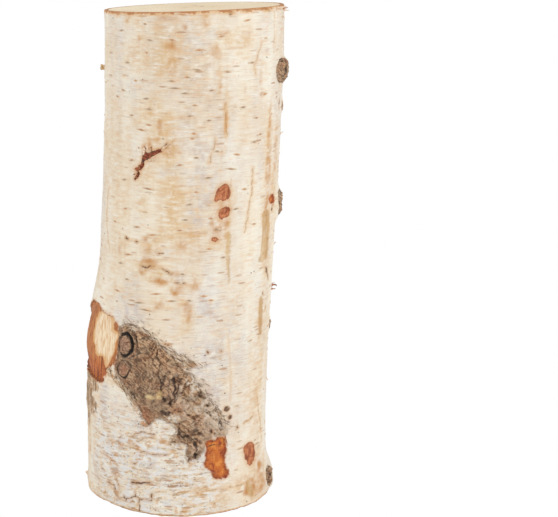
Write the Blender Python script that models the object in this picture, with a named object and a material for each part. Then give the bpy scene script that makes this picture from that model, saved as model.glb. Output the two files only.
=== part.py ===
"""A short length of birch trunk, sawn square at both ends, that stands upright on its lower cut face.

The log is one grown piece, so it is one object. It starts as a cylinder primitive that is cut into rings, and every
vertex is then moved onto the trunk's surface, which one formula gives: a leaning centre line, a nearly round section,
the swelling round an old branch, the knots, and the place where the bark is stripped.
Angles run round the trunk from its front, which faces -Y, and are positive towards +X. Lengths are in metres.
"""

import math

import bmesh
import bpy
import numpy as np

# Driving dimensions
CUT_HEIGHT = 0.2985  # from the base to the upper cut face, on the centre line
TOP_SLOPE = 0.028  # the upper saw cut rises by this much for each metre towards +X
TRUNK_RADIUS = 0.0534
CENTRE_AT_BASE = 0.0024  # the centre line's X at the base; the origin is the middle of the swollen foot
CENTRE_LEAN = 0.0119  # how far the centre line has moved towards +X at the upper cut
LEAN_SPAN = (0.08, 1.0)  # the share of the height over which the trunk sweeps to the right
CENTRE_BOW = 0.003  # the trunk's bow away from the front, at half height

# The section isn't quite round: each lobe is (number of waves, height, phase in radians, turn in radians a metre)
LOBES = ((2, 0.0006, 0.7, 1.5), (3, 0.0005, 1.9, -2.0), (5, 0.0003, 0.4, 3.0))

# The foot swells to the left, below and beside the old branch
SWELL_RISE = 0.0055
SWELL_ANGLE = math.radians(-86)
SWELL_SPREAD = math.radians(26)
SWELL_FADES = (0.084, 0.160)  # heights between which it runs out

# Raised places: angle in degrees, height, half width round the trunk, half height, tilt in degrees, rise, squareness
RAISED = {
    "branch_collar": (-21.5, 0.0875, 0.0150, 0.0205, 38.0, 0.0066, 1.5),
    "collar_fold": (-4.5, 0.0810, 0.0065, 0.0120, 16.0, 0.0034, 1.4),
    "collar_tail": (9.0, 0.0600, 0.0120, 0.0250, 36.0, 0.0030, 1.5),
    "tail_end": (11.0, 0.0410, 0.0065, 0.0060, 0.0, 0.0018, 1.5),
    "branch_stub": (-28.0, 0.1055, 0.0062, 0.0082, 8.0, 0.0046, 2.0),
    "lower_stub": (-30.0, 0.0910, 0.0060, 0.0062, 0.0, 0.0028, 1.6),
    "stripped_shoulder": (-86.0, 0.0950, 0.0160, 0.0215, 0.0, 0.0033, 1.0),
    "right_foot": (44.0, 0.0, 0.0390, 0.0165, 0.0, 0.0052, 1.3),
    "left_foot": (-90.0, 0.0060, 0.0100, 0.0050, 0.0, 0.0012, 1.0),
    "foot_hollow": (-50.0, 0.0, 0.0160, 0.0120, 0.0, -0.0018, 1.2),
    "upper_knot": (80.0, 0.2610, 0.0064, 0.0068, 0.0, 0.0036, 1.8),
    "middle_knot": (88.0, 0.1795, 0.0055, 0.0080, 0.0, 0.0038, 1.6),
    "foot_knot": (88.0, 0.0080, 0.0080, 0.0095, 0.0, 0.0026, 1.6),
    "rear_scar": (176.0, 0.1950, 0.0160, 0.0090, 0.0, 0.0026, 1.2),
}

# The bark is stripped from this place, down to the wood
STRIPPED = (-68.0, 0.0985, 0.0215, 0.0240, -6.0, -0.0016, 2.6)

# Mesh density: how many columns and rows lie between each pair of these angles and heights
COLUMN_STOPS = (-95.0, 45.0, 115.0, 265.0)
COLUMN_COUNTS = (42, 14, 16)
ROW_STOPS = (0.0, 0.015, 0.122, CUT_HEIGHT)
ROW_COUNTS = (3, 27, 28)

BARK_COLOUR = (0.80, 0.74, 0.65, 1.0)
BARK_ROUGHNESS = 0.75


def clear_scene():
    for obj in list(bpy.data.objects):
        bpy.data.objects.remove(obj, do_unlink=True)


def smoothstep(low, high, value):
    share = np.clip((value - low) / (high - low), 0.0, 1.0)
    return share * share * (3.0 - 2.0 * share)


def centre_line(height):
    """X and Y of the trunk's middle at this height."""
    share = np.clip(height / CUT_HEIGHT, 0.0, 1.0)
    sweep = smoothstep(*LEAN_SPAN, share)
    return CENTRE_AT_BASE + CENTRE_LEAN * sweep, CENTRE_BOW * np.sin(math.pi * share)


def turn_between(angle, middle):
    """The angle from middle to angle, brought into half a turn each way."""
    return (angle - middle + math.pi) % (2.0 * math.pi) - math.pi


def hump(angle, height, place):
    """One raised or sunken place: flat-topped where its squareness is high, and smooth at its edge."""
    degrees, middle, half_width, half_height, tilt, rise, squareness = place
    across = TRUNK_RADIUS * turn_between(angle, math.radians(degrees))
    upward = height - middle
    lean = math.radians(tilt)
    along_width = across * math.cos(lean) + upward * math.sin(lean)
    along_height = upward * math.cos(lean) - across * math.sin(lean)
    reach = (along_width / half_width) ** 2 + (along_height / half_height) ** 2
    return rise * np.exp(-(reach**squareness) * math.log(2.0))


def surface_radius(angle, height):
    """The trunk's radius at an angle and a height."""
    radius = TRUNK_RADIUS
    for waves, rise, phase, turn in LOBES:
        radius = radius + rise * np.cos(waves * angle + phase + turn * height)
    fading = 1.0 - smoothstep(*SWELL_FADES, height)
    sideways = turn_between(angle, SWELL_ANGLE) / SWELL_SPREAD
    radius = radius + SWELL_RISE * fading * np.exp(-(sideways**2) / 2.0)
    for place in RAISED.values():
        radius = radius + hump(angle, height, place)
    return radius + hump(angle, height, STRIPPED)


def spread(stops, counts):
    """Values that divide each stretch between two stops evenly into its count."""
    stretches = [
        np.linspace(low, high, count, endpoint=False)
        for low, high, count in zip(stops, stops[1:], counts)
    ]
    return np.concatenate([*stretches, [stops[-1]]])


def trunk_mesh():
    """A cylinder primitive cut into rings, with every vertex moved onto the trunk's surface."""
    angles = np.radians(spread(COLUMN_STOPS, COLUMN_COUNTS)[:-1])
    heights = spread(ROW_STOPS, ROW_COUNTS)
    columns = len(angles)
    rings = len(heights) - 1

    bm = bmesh.new()
    bmesh.ops.create_cone(
        bm, cap_ends=True, cap_tris=False, segments=columns, radius1=1.0, radius2=1.0, depth=1.0
    )
    upright = [edge for edge in bm.edges if abs(edge.verts[0].co.z - edge.verts[1].co.z) > 0.5]
    bmesh.ops.subdivide_edges(bm, edges=upright, cuts=rings - 1, use_grid_fill=True)
    for vert in bm.verts:
        turn = math.atan2(vert.co.x, -vert.co.y) / (2.0 * math.pi)
        angle = angles[round(turn * columns) % columns]
        height = heights[round((vert.co.z + 0.5) * rings)]
        middle_x, middle_y = centre_line(height)
        radius = surface_radius(angle, height)
        vert.co.x = middle_x + radius * math.sin(angle)
        vert.co.y = middle_y - radius * math.cos(angle)
        lift = height / CUT_HEIGHT
        vert.co.z = height + lift * TOP_SLOPE * (vert.co.x - middle_x)
    bmesh.ops.recalc_face_normals(bm, faces=bm.faces)

    mesh = bpy.data.meshes.new("log")
    bm.to_mesh(mesh)
    bm.free()
    mesh.shade_smooth()
    mesh.set_sharp_from_angle(angle=math.radians(50))
    return mesh


def bark_material():
    material = bpy.data.materials.new("birch_bark")
    material.use_nodes = True
    shader = material.node_tree.nodes["Principled BSDF"]
    shader.inputs["Base Color"].default_value = BARK_COLOUR
    shader.inputs["Roughness"].default_value = BARK_ROUGHNESS
    shader.inputs["Metallic"].default_value = 0.0
    return material


def build():
    clear_scene()
    collection = bpy.data.collections.new("birch_log")
    bpy.context.scene.collection.children.link(collection)
    log = bpy.data.objects.new("log", trunk_mesh())
    log.data.materials.append(bark_material())
    collection.objects.link(log)


build()
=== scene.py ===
import math

import bmesh
import bpy
import numpy as np
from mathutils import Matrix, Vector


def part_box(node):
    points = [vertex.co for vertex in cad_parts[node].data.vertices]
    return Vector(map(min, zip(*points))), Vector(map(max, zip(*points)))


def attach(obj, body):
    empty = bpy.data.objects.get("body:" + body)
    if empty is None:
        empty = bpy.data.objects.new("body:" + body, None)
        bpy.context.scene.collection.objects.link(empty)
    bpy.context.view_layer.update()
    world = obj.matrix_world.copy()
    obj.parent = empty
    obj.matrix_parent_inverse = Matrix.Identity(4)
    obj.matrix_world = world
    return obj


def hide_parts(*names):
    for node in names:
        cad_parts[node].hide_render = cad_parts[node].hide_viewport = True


# A short length of birch trunk that stands on its lower sawn face: the wood, the white bark round it, the
# scar of an old branch, small knots, a twig stub, lenticels, and the paper and fibres that peel from the
# bark.
# Angles run round the trunk from its front, which faces -Y, and are positive towards +X.
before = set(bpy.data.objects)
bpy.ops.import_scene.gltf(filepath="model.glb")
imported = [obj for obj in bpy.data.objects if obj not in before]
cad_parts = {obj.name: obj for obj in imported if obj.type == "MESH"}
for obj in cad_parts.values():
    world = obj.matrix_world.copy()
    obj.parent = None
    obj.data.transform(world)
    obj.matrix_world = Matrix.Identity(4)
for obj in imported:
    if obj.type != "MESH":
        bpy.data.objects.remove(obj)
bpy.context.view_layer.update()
MM = 0.001


# The trunk
# One leaning, nearly round stem. Its surface follows the same rule as the solid: a centre line that leans
# to the right, a section with slight lobes, a swollen foot on the left, and raised places at the old
# branch and the knots.
CUT_HEIGHT = 0.2985
TOP_SLOPE = 0.028
TRUNK_RADIUS = 0.0534
CENTRE_AT_BASE = 0.0024
CENTRE_LEAN = 0.0119
LEAN_SPAN = (0.08, 1.0)
CENTRE_BOW = 0.003
LOBES = ((2, 0.0006, 0.7, 1.5), (3, 0.0005, 1.9, -2.0), (5, 0.0003, 0.4, 3.0))
SWELL_RISE = 0.0055
SWELL_ANGLE = math.radians(-86)
SWELL_SPREAD = math.radians(26)
SWELL_FADES = (0.084, 0.160)

# Raised places: angle in degrees, height, half width round the trunk, half height, tilt in degrees, rise,
# squareness
RAISED = {
    "branch_collar": (-21.5, 0.0875, 0.0150, 0.0205, 38.0, 0.0066, 1.5),
    "collar_fold": (-4.5, 0.0810, 0.0065, 0.0120, 16.0, 0.0034, 1.4),
    "collar_tail": (9.0, 0.0600, 0.0120, 0.0250, 36.0, 0.0030, 1.5),
    "tail_end": (11.0, 0.0410, 0.0065, 0.0060, 0.0, 0.0018, 1.5),
    "branch_stub": (-28.0, 0.1055, 0.0062, 0.0082, 8.0, 0.0046, 2.0),
    "lower_stub": (-30.0, 0.0910, 0.0060, 0.0062, 0.0, 0.0028, 1.6),
    "stripped_shoulder": (-86.0, 0.0950, 0.0160, 0.0215, 0.0, 0.0033, 1.0),
    "right_foot": (44.0, 0.0, 0.0390, 0.0165, 0.0, 0.0052, 1.3),
    "left_foot": (-90.0, 0.0060, 0.0100, 0.0050, 0.0, 0.0012, 1.0),
    "foot_hollow": (-50.0, 0.0, 0.0160, 0.0120, 0.0, -0.0018, 1.2),
    "upper_knot": (80.0, 0.2610, 0.0064, 0.0068, 0.0, 0.0036, 1.8),
    "middle_knot": (88.0, 0.1795, 0.0055, 0.0080, 0.0, 0.0038, 1.6),
    "foot_knot": (88.0, 0.0080, 0.0080, 0.0095, 0.0, 0.0026, 1.6),
    "rear_scar": (176.0, 0.1950, 0.0160, 0.0090, 0.0, 0.0026, 1.2),
    "low_knot": (86.0, 0.1045, 0.0024, 0.0042, 0.0, 0.0012, 1.3),
    "flank_hollow": (-90.0, 0.0790, 0.0170, 0.0110, 0.0, -0.0020, 1.2),
    "small_knot": (86.0, 0.2390, 0.0022, 0.0040, 0.0, 0.0009, 1.3),
}


def smoothstep(low, high, value):
    share = np.clip((value - low) / (high - low), 0.0, 1.0)
    return share * share * (3.0 - 2.0 * share)


def centre_line(height):
    share = np.clip(height / CUT_HEIGHT, 0.0, 1.0)
    sweep = smoothstep(*LEAN_SPAN, share)
    return CENTRE_AT_BASE + CENTRE_LEAN * sweep, CENTRE_BOW * np.sin(math.pi * share)


def turn_between(angle, middle):
    return (angle - middle + math.pi) % (2.0 * math.pi) - math.pi


def hump(angle, height, place):
    degrees, middle, half_width, half_height, tilt, rise, squareness = place
    across = TRUNK_RADIUS * turn_between(angle, math.radians(degrees))
    upward = height - middle
    lean = math.radians(tilt)
    along_width = across * math.cos(lean) + upward * math.sin(lean)
    along_height = upward * math.cos(lean) - across * math.sin(lean)
    reach = (along_width / half_width) ** 2 + (along_height / half_height) ** 2
    return rise * np.exp(-(reach**squareness) * math.log(2.0))


def trunk_radius(angle, height):
    radius = TRUNK_RADIUS
    for waves, rise, phase, turn in LOBES:
        radius = radius + rise * np.cos(waves * angle + phase + turn * height)
    fading = 1.0 - smoothstep(*SWELL_FADES, height)
    sideways = turn_between(angle, SWELL_ANGLE) / SWELL_SPREAD
    radius = radius + SWELL_RISE * fading * np.exp(-(sideways**2) / 2.0)
    for place in RAISED.values():
        radius = radius + hump(angle, height, place)
    return radius


def at_radius(angle, height, radius):
    """Points at these angles, heights and distances from the centre line, as rows of X, Y and Z."""
    middle_x, middle_y = centre_line(height)
    x = middle_x + radius * np.sin(angle)
    y = middle_y - radius * np.cos(angle)
    z = height + (height / CUT_HEIGHT) * TOP_SLOPE * (x - middle_x)
    return np.stack([x, y, z], axis=-1)


def smooth_noise(across, upward, cell_across, cell_upward, seed):
    """Soft random ups and downs from -1 to 1, which meet themselves round the trunk."""
    girth = 2.0 * math.pi * TRUNK_RADIUS
    columns = max(4, round(girth / cell_across))
    rows = int(0.4 / cell_upward) + 8
    table = np.random.default_rng(seed).uniform(-1.0, 1.0, (rows, columns))
    place_u = (across / girth * columns) % columns
    place_v = (upward / cell_upward + rows // 4) % (rows - 1)
    column = place_u.astype(int) % columns
    row = place_v.astype(int)
    share_u = smoothstep(0.0, 1.0, place_u - np.floor(place_u))
    share_v = smoothstep(0.0, 1.0, place_v - row)
    right = (column + 1) % columns
    below = table[row, column] * (1.0 - share_u) + table[row, right] * share_u
    above = table[row + 1, column] * (1.0 - share_u) + table[row + 1, right] * share_u
    return below * (1.0 - share_v) + above * share_v


def layered_noise(across, upward, cell_across, cell_upward, seed, layers=3):
    total = 0.0
    for layer in range(layers):
        finer = 2.0**layer
        cells = (cell_across / finer, cell_upward / finer)
        total = total + smooth_noise(across, upward, *cells, seed + layer) / finer
    return total


# Places on the bark
# Outlines of the marks that show on the real log, each point an angle in degrees and a height in
# millimetres: two bark layers torn off, places rubbed down to the orange inner bark, the split that hooks
# upwards, and the branch scar.
STRIPPED = (
    (-70, 124.5), (-67, 124), (-61.8, 122), (-56.8, 120), (-52, 119.7), (-47.2, 118.8), (-44, 117),
    (-42.2, 114.5), (-40.5, 112.5), (-39.8, 110), (-39.2, 106), (-38.6, 102.5), (-38.3, 98), (-38.6, 94.5),
    (-41, 92), (-46, 88.5), (-50.3, 84), (-52.5, 80.5), (-54, 77), (-57.2, 75), (-61.8, 75.3), (-66, 77),
    (-74, 77.5), (-86, 79), (-98, 84), (-99, 100), (-95, 111), (-86, 118), (-77, 122.5),
)
BARED_WOOD = (
    (-63, 119.5), (-57.2, 119.3), (-53, 118.3), (-48, 117.2), (-45.4, 115.8), (-46.5, 113.5), (-48.4, 111),
    (-47.5, 109.5), (-43, 109.5), (-40.4, 108.3), (-41.8, 106.5), (-43.3, 104), (-43, 100.5), (-44, 97),
    (-45.2, 95), (-47.5, 92), (-50.8, 89), (-52.4, 85.5), (-53.6, 86), (-54.5, 89), (-56, 92), (-58.8, 91),
    (-63, 91.5), (-66.5, 95), (-69, 101), (-70, 106), (-69.5, 111), (-67, 116),
)
ORANGE_PLACES = (
    ((20, 46), (26, 46), (33, 45.5), (34.5, 41.5), (34.8, 34.5), (33.2, 30.5), (33.8, 27), (36.5, 23),
     (35.5, 21.5), (31.3, 20), (26.5, 20.5), (23.8, 23), (23.5, 26), (19.2, 27.5), (18.8, 31),
     (19.5, 35.5), (19.8, 40.5), (18.8, 43.5)),
    ((69, 188.8), (74.5, 186.8), (76.8, 183), (74, 181), (67.5, 182.2), (64, 186)),
)
RUST_PLACES = (
    ((50.3, 37), (55.2, 37), (59.8, 35.5), (62, 31), (61.8, 28), (59.5, 24), (55.5, 22.5), (53.2, 23),
     (51.8, 26), (50.5, 31), (49, 33)),
    ((-34, 209.7), (-32.2, 210.4), (-30.2, 210.3), (-30.3, 208.2), (-32.5, 207.5)),
    ((18.4, 168.6), (22.6, 168.8), (23.2, 166.9), (20.6, 165.9), (18.6, 166.9)),
    ((24, 199.5), (28.5, 199.7), (30, 193.5), (28.5, 190.7), (24.5, 190.3), (20.5, 189.2), (19, 190.5),
     (19.2, 194), (21, 197.5)),
    ((26.5, 186), (29.7, 184.8), (29.8, 180.5), (27, 179.5), (24, 178.2), (22, 181), (22.5, 184)),
)
# Level-topped strips where the outer paper is gone and an ochre layer shows
OCHRE_STRIPS = (
    ((59, 180), (58.6, 175), (59, 168), (60, 161), (59.3, 154), (56.2, 150), (61, 148), (69, 148.5),
     (70, 157), (69.4, 164), (69.8, 172), (67, 179)),
    ((59.8, 126.5), (65, 127), (66.5, 119), (66, 112), (66.6, 103), (62.6, 102), (62.6, 111), (61, 118)),
    ((48, 15), (52, 14.5), (54.5, 10), (54, 5), (50, 4.5), (47.5, 9)),
    ((28.4, 171), (31.6, 170.5), (32, 161), (31.6, 150), (33.2, 140), (31.6, 139), (30.2, 149), (29, 160)),
)
SPLITS = (
    ((-28.3, 213.8), (-27.6, 216.5), (-27, 219.2), (-25, 218.4), (-21.8, 219.6), (-19, 220.2),
     (-17, 220.9), (-14.5, 220.5), (-12.6, 220.1), (-16, 219.2), (-18.6, 218), (-21.8, 216.3),
     (-25.5, 214.2)),
    ((-27.2, 223.4), (-25, 222.2), (-25.7, 220.9), (-26.6, 219), (-27.4, 218.6), (-27.4, 220.5)),
    ((-23.8, 223.6), (-22.7, 223.4), (-20.9, 220), (-22.2, 219.8)),
    ((-27.2, 213.9), (-28.3, 212.7), (-29.7, 210.6), (-30.6, 208.4), (-29.2, 207.9), (-27.7, 210.5),
     (-26.6, 212.3)),
    ((-30.7, 208.2), (-32, 205.5), (-33.4, 202.2), (-31, 204.2), (-29.5, 206.9)),
)
SCAR = (
    (-41.2, 113.5), (-33.2, 115.2), (-24.2, 114.5), (-18.8, 111), (-11, 106), (-3, 99.5), (3.5, 93),
    (10.8, 83.5), (18.2, 75), (24.8, 66), (31, 58), (34.8, 50.5), (35, 46.8), (28, 46.5), (20.5, 46.5),
    (18.2, 42), (16.5, 36), (13.5, 32.8), (9, 33), (6, 36.5), (7, 40), (7.5, 44), (4, 45.5), (1, 43.5),
    (-3.2, 45), (-1.5, 49.5), (1.4, 51.8), (0.2, 55), (-4.2, 58.8), (-9, 61.2), (-13.2, 59.5),
    (-16.5, 55.5), (-19.2, 58), (-21, 61), (-23, 66), (-26, 71), (-29, 76), (-33.5, 81.5), (-38.5, 84.8),
    (-40.6, 89.5), (-38.2, 95), (-38.2, 99), (-39, 104), (-40.4, 109),
)

# Narrow cracks and small dark dots, each a width in millimetres and the points that it runs through
CRACKS = (
    (0.9, (-29.2, 18.2), (-20.2, 19.5), (-16, 20.3)),
    (0.5, (-50.5, 13.5), (-44, 13), (-43.5, 7.4), (-40.8, 5.6), (-32.8, 7)),
    (0.8, (-32.8, 7), (-26.5, 9.5), (-26.8, 13)),
    (0.6, (-26.5, 9.5), (-23.5, 8.6), (-15, 9.5), (-14.5, 13)),
    (0.8, (-24.5, 8), (-24, 1)),
    (0.8, (-36, 8), (-34.5, 5.6)),
    (0.6, (-42, 17.5), (-40, 14)),
    (0.5, (-29.8, 47), (-25.8, 49.5), (-20.2, 51.5), (-13, 50)),
    (0.45, (-23, 39), (-16.5, 38), (-10, 37.5), (-4.8, 38.5)),
    (0.6, (-28, 31), (-26.6, 30.4)),
    (1.0, (68, 143), (70, 139), (73, 135)),
    (1.0, (64.8, 128.4), (65.2, 127.6)),
    (0.7, (20.2, 41), (22.8, 42), (25.5, 43), (28.5, 41.5), (31, 42)),
    (0.8, (62.8, 176.2), (62.9, 175.8)),
    (0.9, (68.2, 161.2), (68.3, 160.8)),
    (0.8, (63, 153.3), (63.1, 152.9)),
    (0.8, (70.2, 117.8), (70.3, 117.2)),
    (0.9, (67.0, 143.8), (68.8, 140.6)),
    (1.2, (75.5, 243.5), (75.2, 239)),
    (1.9, (71.6, 179.6), (72.4, 178.4)),
    (1.0, (-23.2, 223.4), (-21.4, 220)),
    (0.6, (-27, 222.6), (-26.2, 219.6)),
    (0.5, (-17, 221), (-13.6, 222.6), (-11.6, 224.2)),
    (1.3, (-38, 167.4), (-37.4, 167)),
    (0.8, (-30.2, 166.6), (-29.8, 166.2)),
    (0.7, (-25.8, 152.2), (-22, 151.4), (-18.6, 152.5)),
    (0.7, (-11.4, 151), (-8, 149.8), (-5.4, 148.4)),
    (0.6, (-3.2, 143), (2.6, 142.5)),
    (0.7, (-14.2, 160.4), (-12, 160.6)),
    (0.9, (19.8, 172.9), (23.6, 172.4)),
    (1.9, (26.2, 297.4), (26.6, 296.6)),
    (1.0, (35.5, 298), (39, 297.4)),
    (0.8, (53, 297.6), (58, 296.8)),
    (3.4, (34, 62.6), (34.5, 62.2)),
    (2.6, (37, 57.2), (37.2, 56.8)),
    (1.2, (19.2, 99.7), (19.4, 99.4)),
    (0.9, (28.4, 99.2), (28.8, 98.8)),
    (1.6, (27.4, 60.8), (27.8, 60.2)),
    (1.1, (43.4, 49.7), (43.6, 49)),
    (0.7, (-56, 21), (-53, 20.4)),
    (1.1, (-7.4, 106.4), (-5.8, 105.8)),
    (0.8, (-66, 60), (-65, 54)),
    (0.8, (-70, 72), (-68, 66)),
)
# Thin tan lines where the outer paper has parted
SEAMS = (
    (0.9, (-13.2, 221), (-10, 224.6), (-7, 227)),
    (0.7, (17.5, 227), (17, 221), (15, 216.5), (14.3, 212.5)),
    (1.0, (23.5, 246), (24.2, 236.5), (25, 228)),
    (0.1, (33.2, 109), (36.2, 91.5), (37.8, 74), (36.8, 66.5)),
    (0.9, (46.5, 207), (45.8, 190), (44.2, 179.5), (41.8, 170)),
    (0.7, (-28.8, 152.8), (-16.8, 152.5), (-6.8, 149.3), (-2.2, 147.5)),
    (0.9, (-38.5, 167.5), (-30, 166), (-25.8, 166.5)),
    (0.7, (-60.8, 194), (-62.5, 177), (-56.2, 157.5)),
    (0.8, (-25.8, 44.5), (-20, 47.5), (-12, 48.5)),
    (0.7, (3, 15), (13.2, 15.2), (30, 14), (46.8, 14)),
    (0.8, (46, 261), (44, 266), (50, 279)),
    (1.0, (63.5, 65), (66.2, 56.5), (69.2, 46), (71, 40.5), (72.8, 34.5)),
    (1.2, (49.5, 50.5), (54, 51.2), (58.2, 52.5)),
)
# The knots and the old eye behind: angle in degrees, height, half width, half height and tilt, seed
KNOTS = {
    "upper_knot": (76, 261, 7.4, 7.8, 0, 3),
    "middle_knot": (87, 180.5, 4.8, 8.8, 0, 4),
    "foot_knot": (79, 8.4, 6.4, 6.6, 0, 5),
    "small_knot": (85, 239, 1.8, 3.8, 0, 8),
    "low_knot": (85, 104.5, 1.9, 3.6, 0, 9),
    "rear_scar": (176, 195, 15, 7.2, 0, 6),
}


def rounded(outline):
    """The outline in metres on the unrolled bark, with its corners cut off."""
    points = np.array([(math.radians(degrees) * TRUNK_RADIUS, height * MM) for degrees, height in outline])
    following = np.roll(points, -1, axis=0)
    nearer = 0.75 * points + 0.25 * following
    farther = 0.25 * points + 0.75 * following
    return np.stack([nearer, farther], axis=1).reshape(-1, 2)


def outline_distance(across, upward, outline):
    """Distance to the outline on the unrolled bark, negative inside it."""
    points = rounded(outline)
    nearest = np.full(across.shape, 1.0)
    inside = np.zeros(across.shape, dtype=bool)
    for (x0, y0), (x1, y1) in zip(points, np.roll(points, -1, axis=0)):
        length = (x1 - x0) ** 2 + (y1 - y0) ** 2 + 1e-12
        along = np.clip(((across - x0) * (x1 - x0) + (upward - y0) * (y1 - y0)) / length, 0.0, 1.0)
        gap = np.hypot(across - x0 - along * (x1 - x0), upward - y0 - along * (y1 - y0))
        nearest = np.minimum(nearest, gap)
        crossing = (y0 > upward) != (y1 > upward)
        slope = (x1 - x0) / (y1 - y0 if abs(y1 - y0) > 1e-12 else 1e-12)
        inside ^= crossing & (across < x0 + (upward - y0) * slope)
    return np.where(inside, -nearest, nearest)


def nearest_outline(across, upward, outlines, raggedness, seed):
    """Distance to the nearest of several outlines, with an edge that wanders by the raggedness."""
    distance = np.min([outline_distance(across, upward, outline) for outline in outlines], axis=0)
    return distance + raggedness * layered_noise(across, upward, 0.0026, 0.0026, seed)


def route_distance(across, upward, routes, seed):
    """Distance to the edge of the nearest line, negative inside it. Each route is a width and its points."""
    nearest = np.full(across.shape, 1.0)
    wander_x = 0.0007 * layered_noise(across, upward, 0.003, 0.003, seed)
    wander_y = 0.0007 * layered_noise(across, upward, 0.003, 0.003, seed + 3)
    for width, *route in routes:
        points = [(math.radians(degrees) * TRUNK_RADIUS, height * MM) for degrees, height in route]
        for (x0, y0), (x1, y1) in zip(points, points[1:]):
            dx = across + wander_x - x0
            dy = upward + wander_y - y0
            along = np.clip((dx * (x1 - x0) + dy * (y1 - y0)) / ((x1 - x0) ** 2 + (y1 - y0) ** 2), 0.0, 1.0)
            gap = np.hypot(dx - along * (x1 - x0), dy - along * (y1 - y0))
            nearest = np.minimum(nearest, gap - 0.5 * width * MM)
    return nearest


def oval_reach(x, y, oval):
    """1 on the oval's edge and 0 at its middle; x and y are millimetres on the unrolled bark."""
    degrees, middle, half_width, half_height, tilt = oval
    dx = turn_between(x * MM / TRUNK_RADIUS, math.radians(degrees)) * TRUNK_RADIUS / MM
    dy = y - middle
    lean = math.radians(tilt)
    wide = (dx * math.cos(lean) + dy * math.sin(lean)) / half_width
    tall = (dy * math.cos(lean) - dx * math.sin(lean)) / half_height
    return np.hypot(wide, tall)


def knot_distance(across, upward):
    """Roughly how far outside the nearest knot's oval a place is, negative inside it."""
    nearest = np.full(across.shape, 1.0)
    for *oval, _ in KNOTS.values():
        reach = oval_reach(across / MM, upward / MM, oval)
        nearest = np.minimum(nearest, (reach - 1.0) * min(oval[2], oval[3]) * MM)
    return nearest + 0.0005 * layered_noise(across, upward, 0.003, 0.003, 39)


def bark_marks(across, upward):
    """Distances to the outlines of every kind of mark."""
    return {
        "crack": route_distance(across, upward, CRACKS, 38),
        "seam": route_distance(across, upward, SEAMS, 56),
        "knot": knot_distance(across, upward),
        "stripped": nearest_outline(across, upward, [STRIPPED], 0.0012, 21),
        "bared": nearest_outline(across, upward, [BARED_WOOD], 0.0009, 24),
        "orange": nearest_outline(across, upward, ORANGE_PLACES, 0.0008, 27),
        "rust": nearest_outline(across, upward, RUST_PLACES, 0.0006, 30),
        "strip": nearest_outline(across, upward, OCHRE_STRIPS, 0.0007, 48),
        "split": nearest_outline(across, upward, SPLITS, 0.0006, 33),
        "scar": nearest_outline(across, upward, [SCAR], 0.0008, 36),
    }


# The bark
# A sleeve of bark about two millimetres thick, white and papery outside and orange-brown where it is cut.
# It is one grown skin, finest at the front, with its torn and rubbed places sunk into it.
BARK_THICKNESS = 0.0022
LINING_SINK = 0.009
STRIP_DEPTH = 0.0017
ORANGE_DEPTH = 0.0009
RUST_DEPTH = 0.00045
SPLIT_DEPTH = 0.0015
LIP_RISE = 0.00030
LIP_WIDTH = 0.0009
CRACK_DEPTH = 0.0006
SCAR_BED_DEPTH = 0.0024
KNOT_BED_DEPTH = 0.0026


def bark_relief(across, upward, marks):
    """How far the bark's surface stands out from the smooth trunk."""
    relief = 0.00009 * layered_noise(across, upward, 0.013, 0.0017, 11)
    relief = relief + 0.00022 * layered_noise(across, upward, 0.020, 0.024, 15)
    relief = relief + 0.00010 * layered_noise(across, upward, 0.0028, 0.022, 18)
    turned = np.degrees(turn_between(across / TRUNK_RADIUS, 0.0))
    wrinkled = smoothstep(0.074, 0.040, upward) * smoothstep(42.0, 12.0, np.abs(turned + 28.0))
    crinkle = layered_noise(across, upward, 0.011, 0.0022, 41)
    relief = relief + wrinkled * (0.00042 * crinkle - 0.00040 * np.exp(-((crinkle / 0.12) ** 2)))
    rough_edge = smoothstep(20.0, 14.0, np.abs(turned + 80.0)) * smoothstep(0.036, 0.050, upward)
    rough_edge = rough_edge * smoothstep(0.080, 0.072, upward)
    relief = relief + rough_edge * 0.0006 * layered_noise(across, upward, 0.0035, 0.007, 44)
    for name, depth in (
        ("stripped", STRIP_DEPTH), ("orange", ORANGE_DEPTH), ("rust", RUST_DEPTH), ("split", SPLIT_DEPTH)
    ):
        distance = marks[name]
        relief = relief - depth * smoothstep(0.0, 0.0007, -distance)
        lip = np.exp(-((distance / LIP_WIDTH) ** 2)) * (distance > 0.0)
        relief = relief + LIP_RISE * lip * (depth / STRIP_DEPTH) ** 0.5
    inside_bared = smoothstep(0.0, 0.0006, -marks["bared"])
    relief = relief - 0.0004 * inside_bared
    grooved = smoothstep(0.0, 0.001, -marks["orange"]) + smoothstep(0.0, 0.001, -marks["rust"])
    relief = relief + 0.00018 * grooved * layered_noise(across, upward, 0.0016, 0.0042, 47)
    relief = relief - CRACK_DEPTH * smoothstep(0.0003, -0.0003, marks["crack"])
    relief = relief + 0.00025 * np.exp(-((marks["crack"] / 0.0012) ** 2))
    relief = relief - SCAR_BED_DEPTH * smoothstep(-0.0002, -0.0022, marks["scar"])
    relief = relief - SCAR_BED_DEPTH * smoothstep(-0.0030, -0.0060, marks["scar"])
    return relief - KNOT_BED_DEPTH * smoothstep(-0.0001, -0.0014, marks["knot"])


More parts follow.
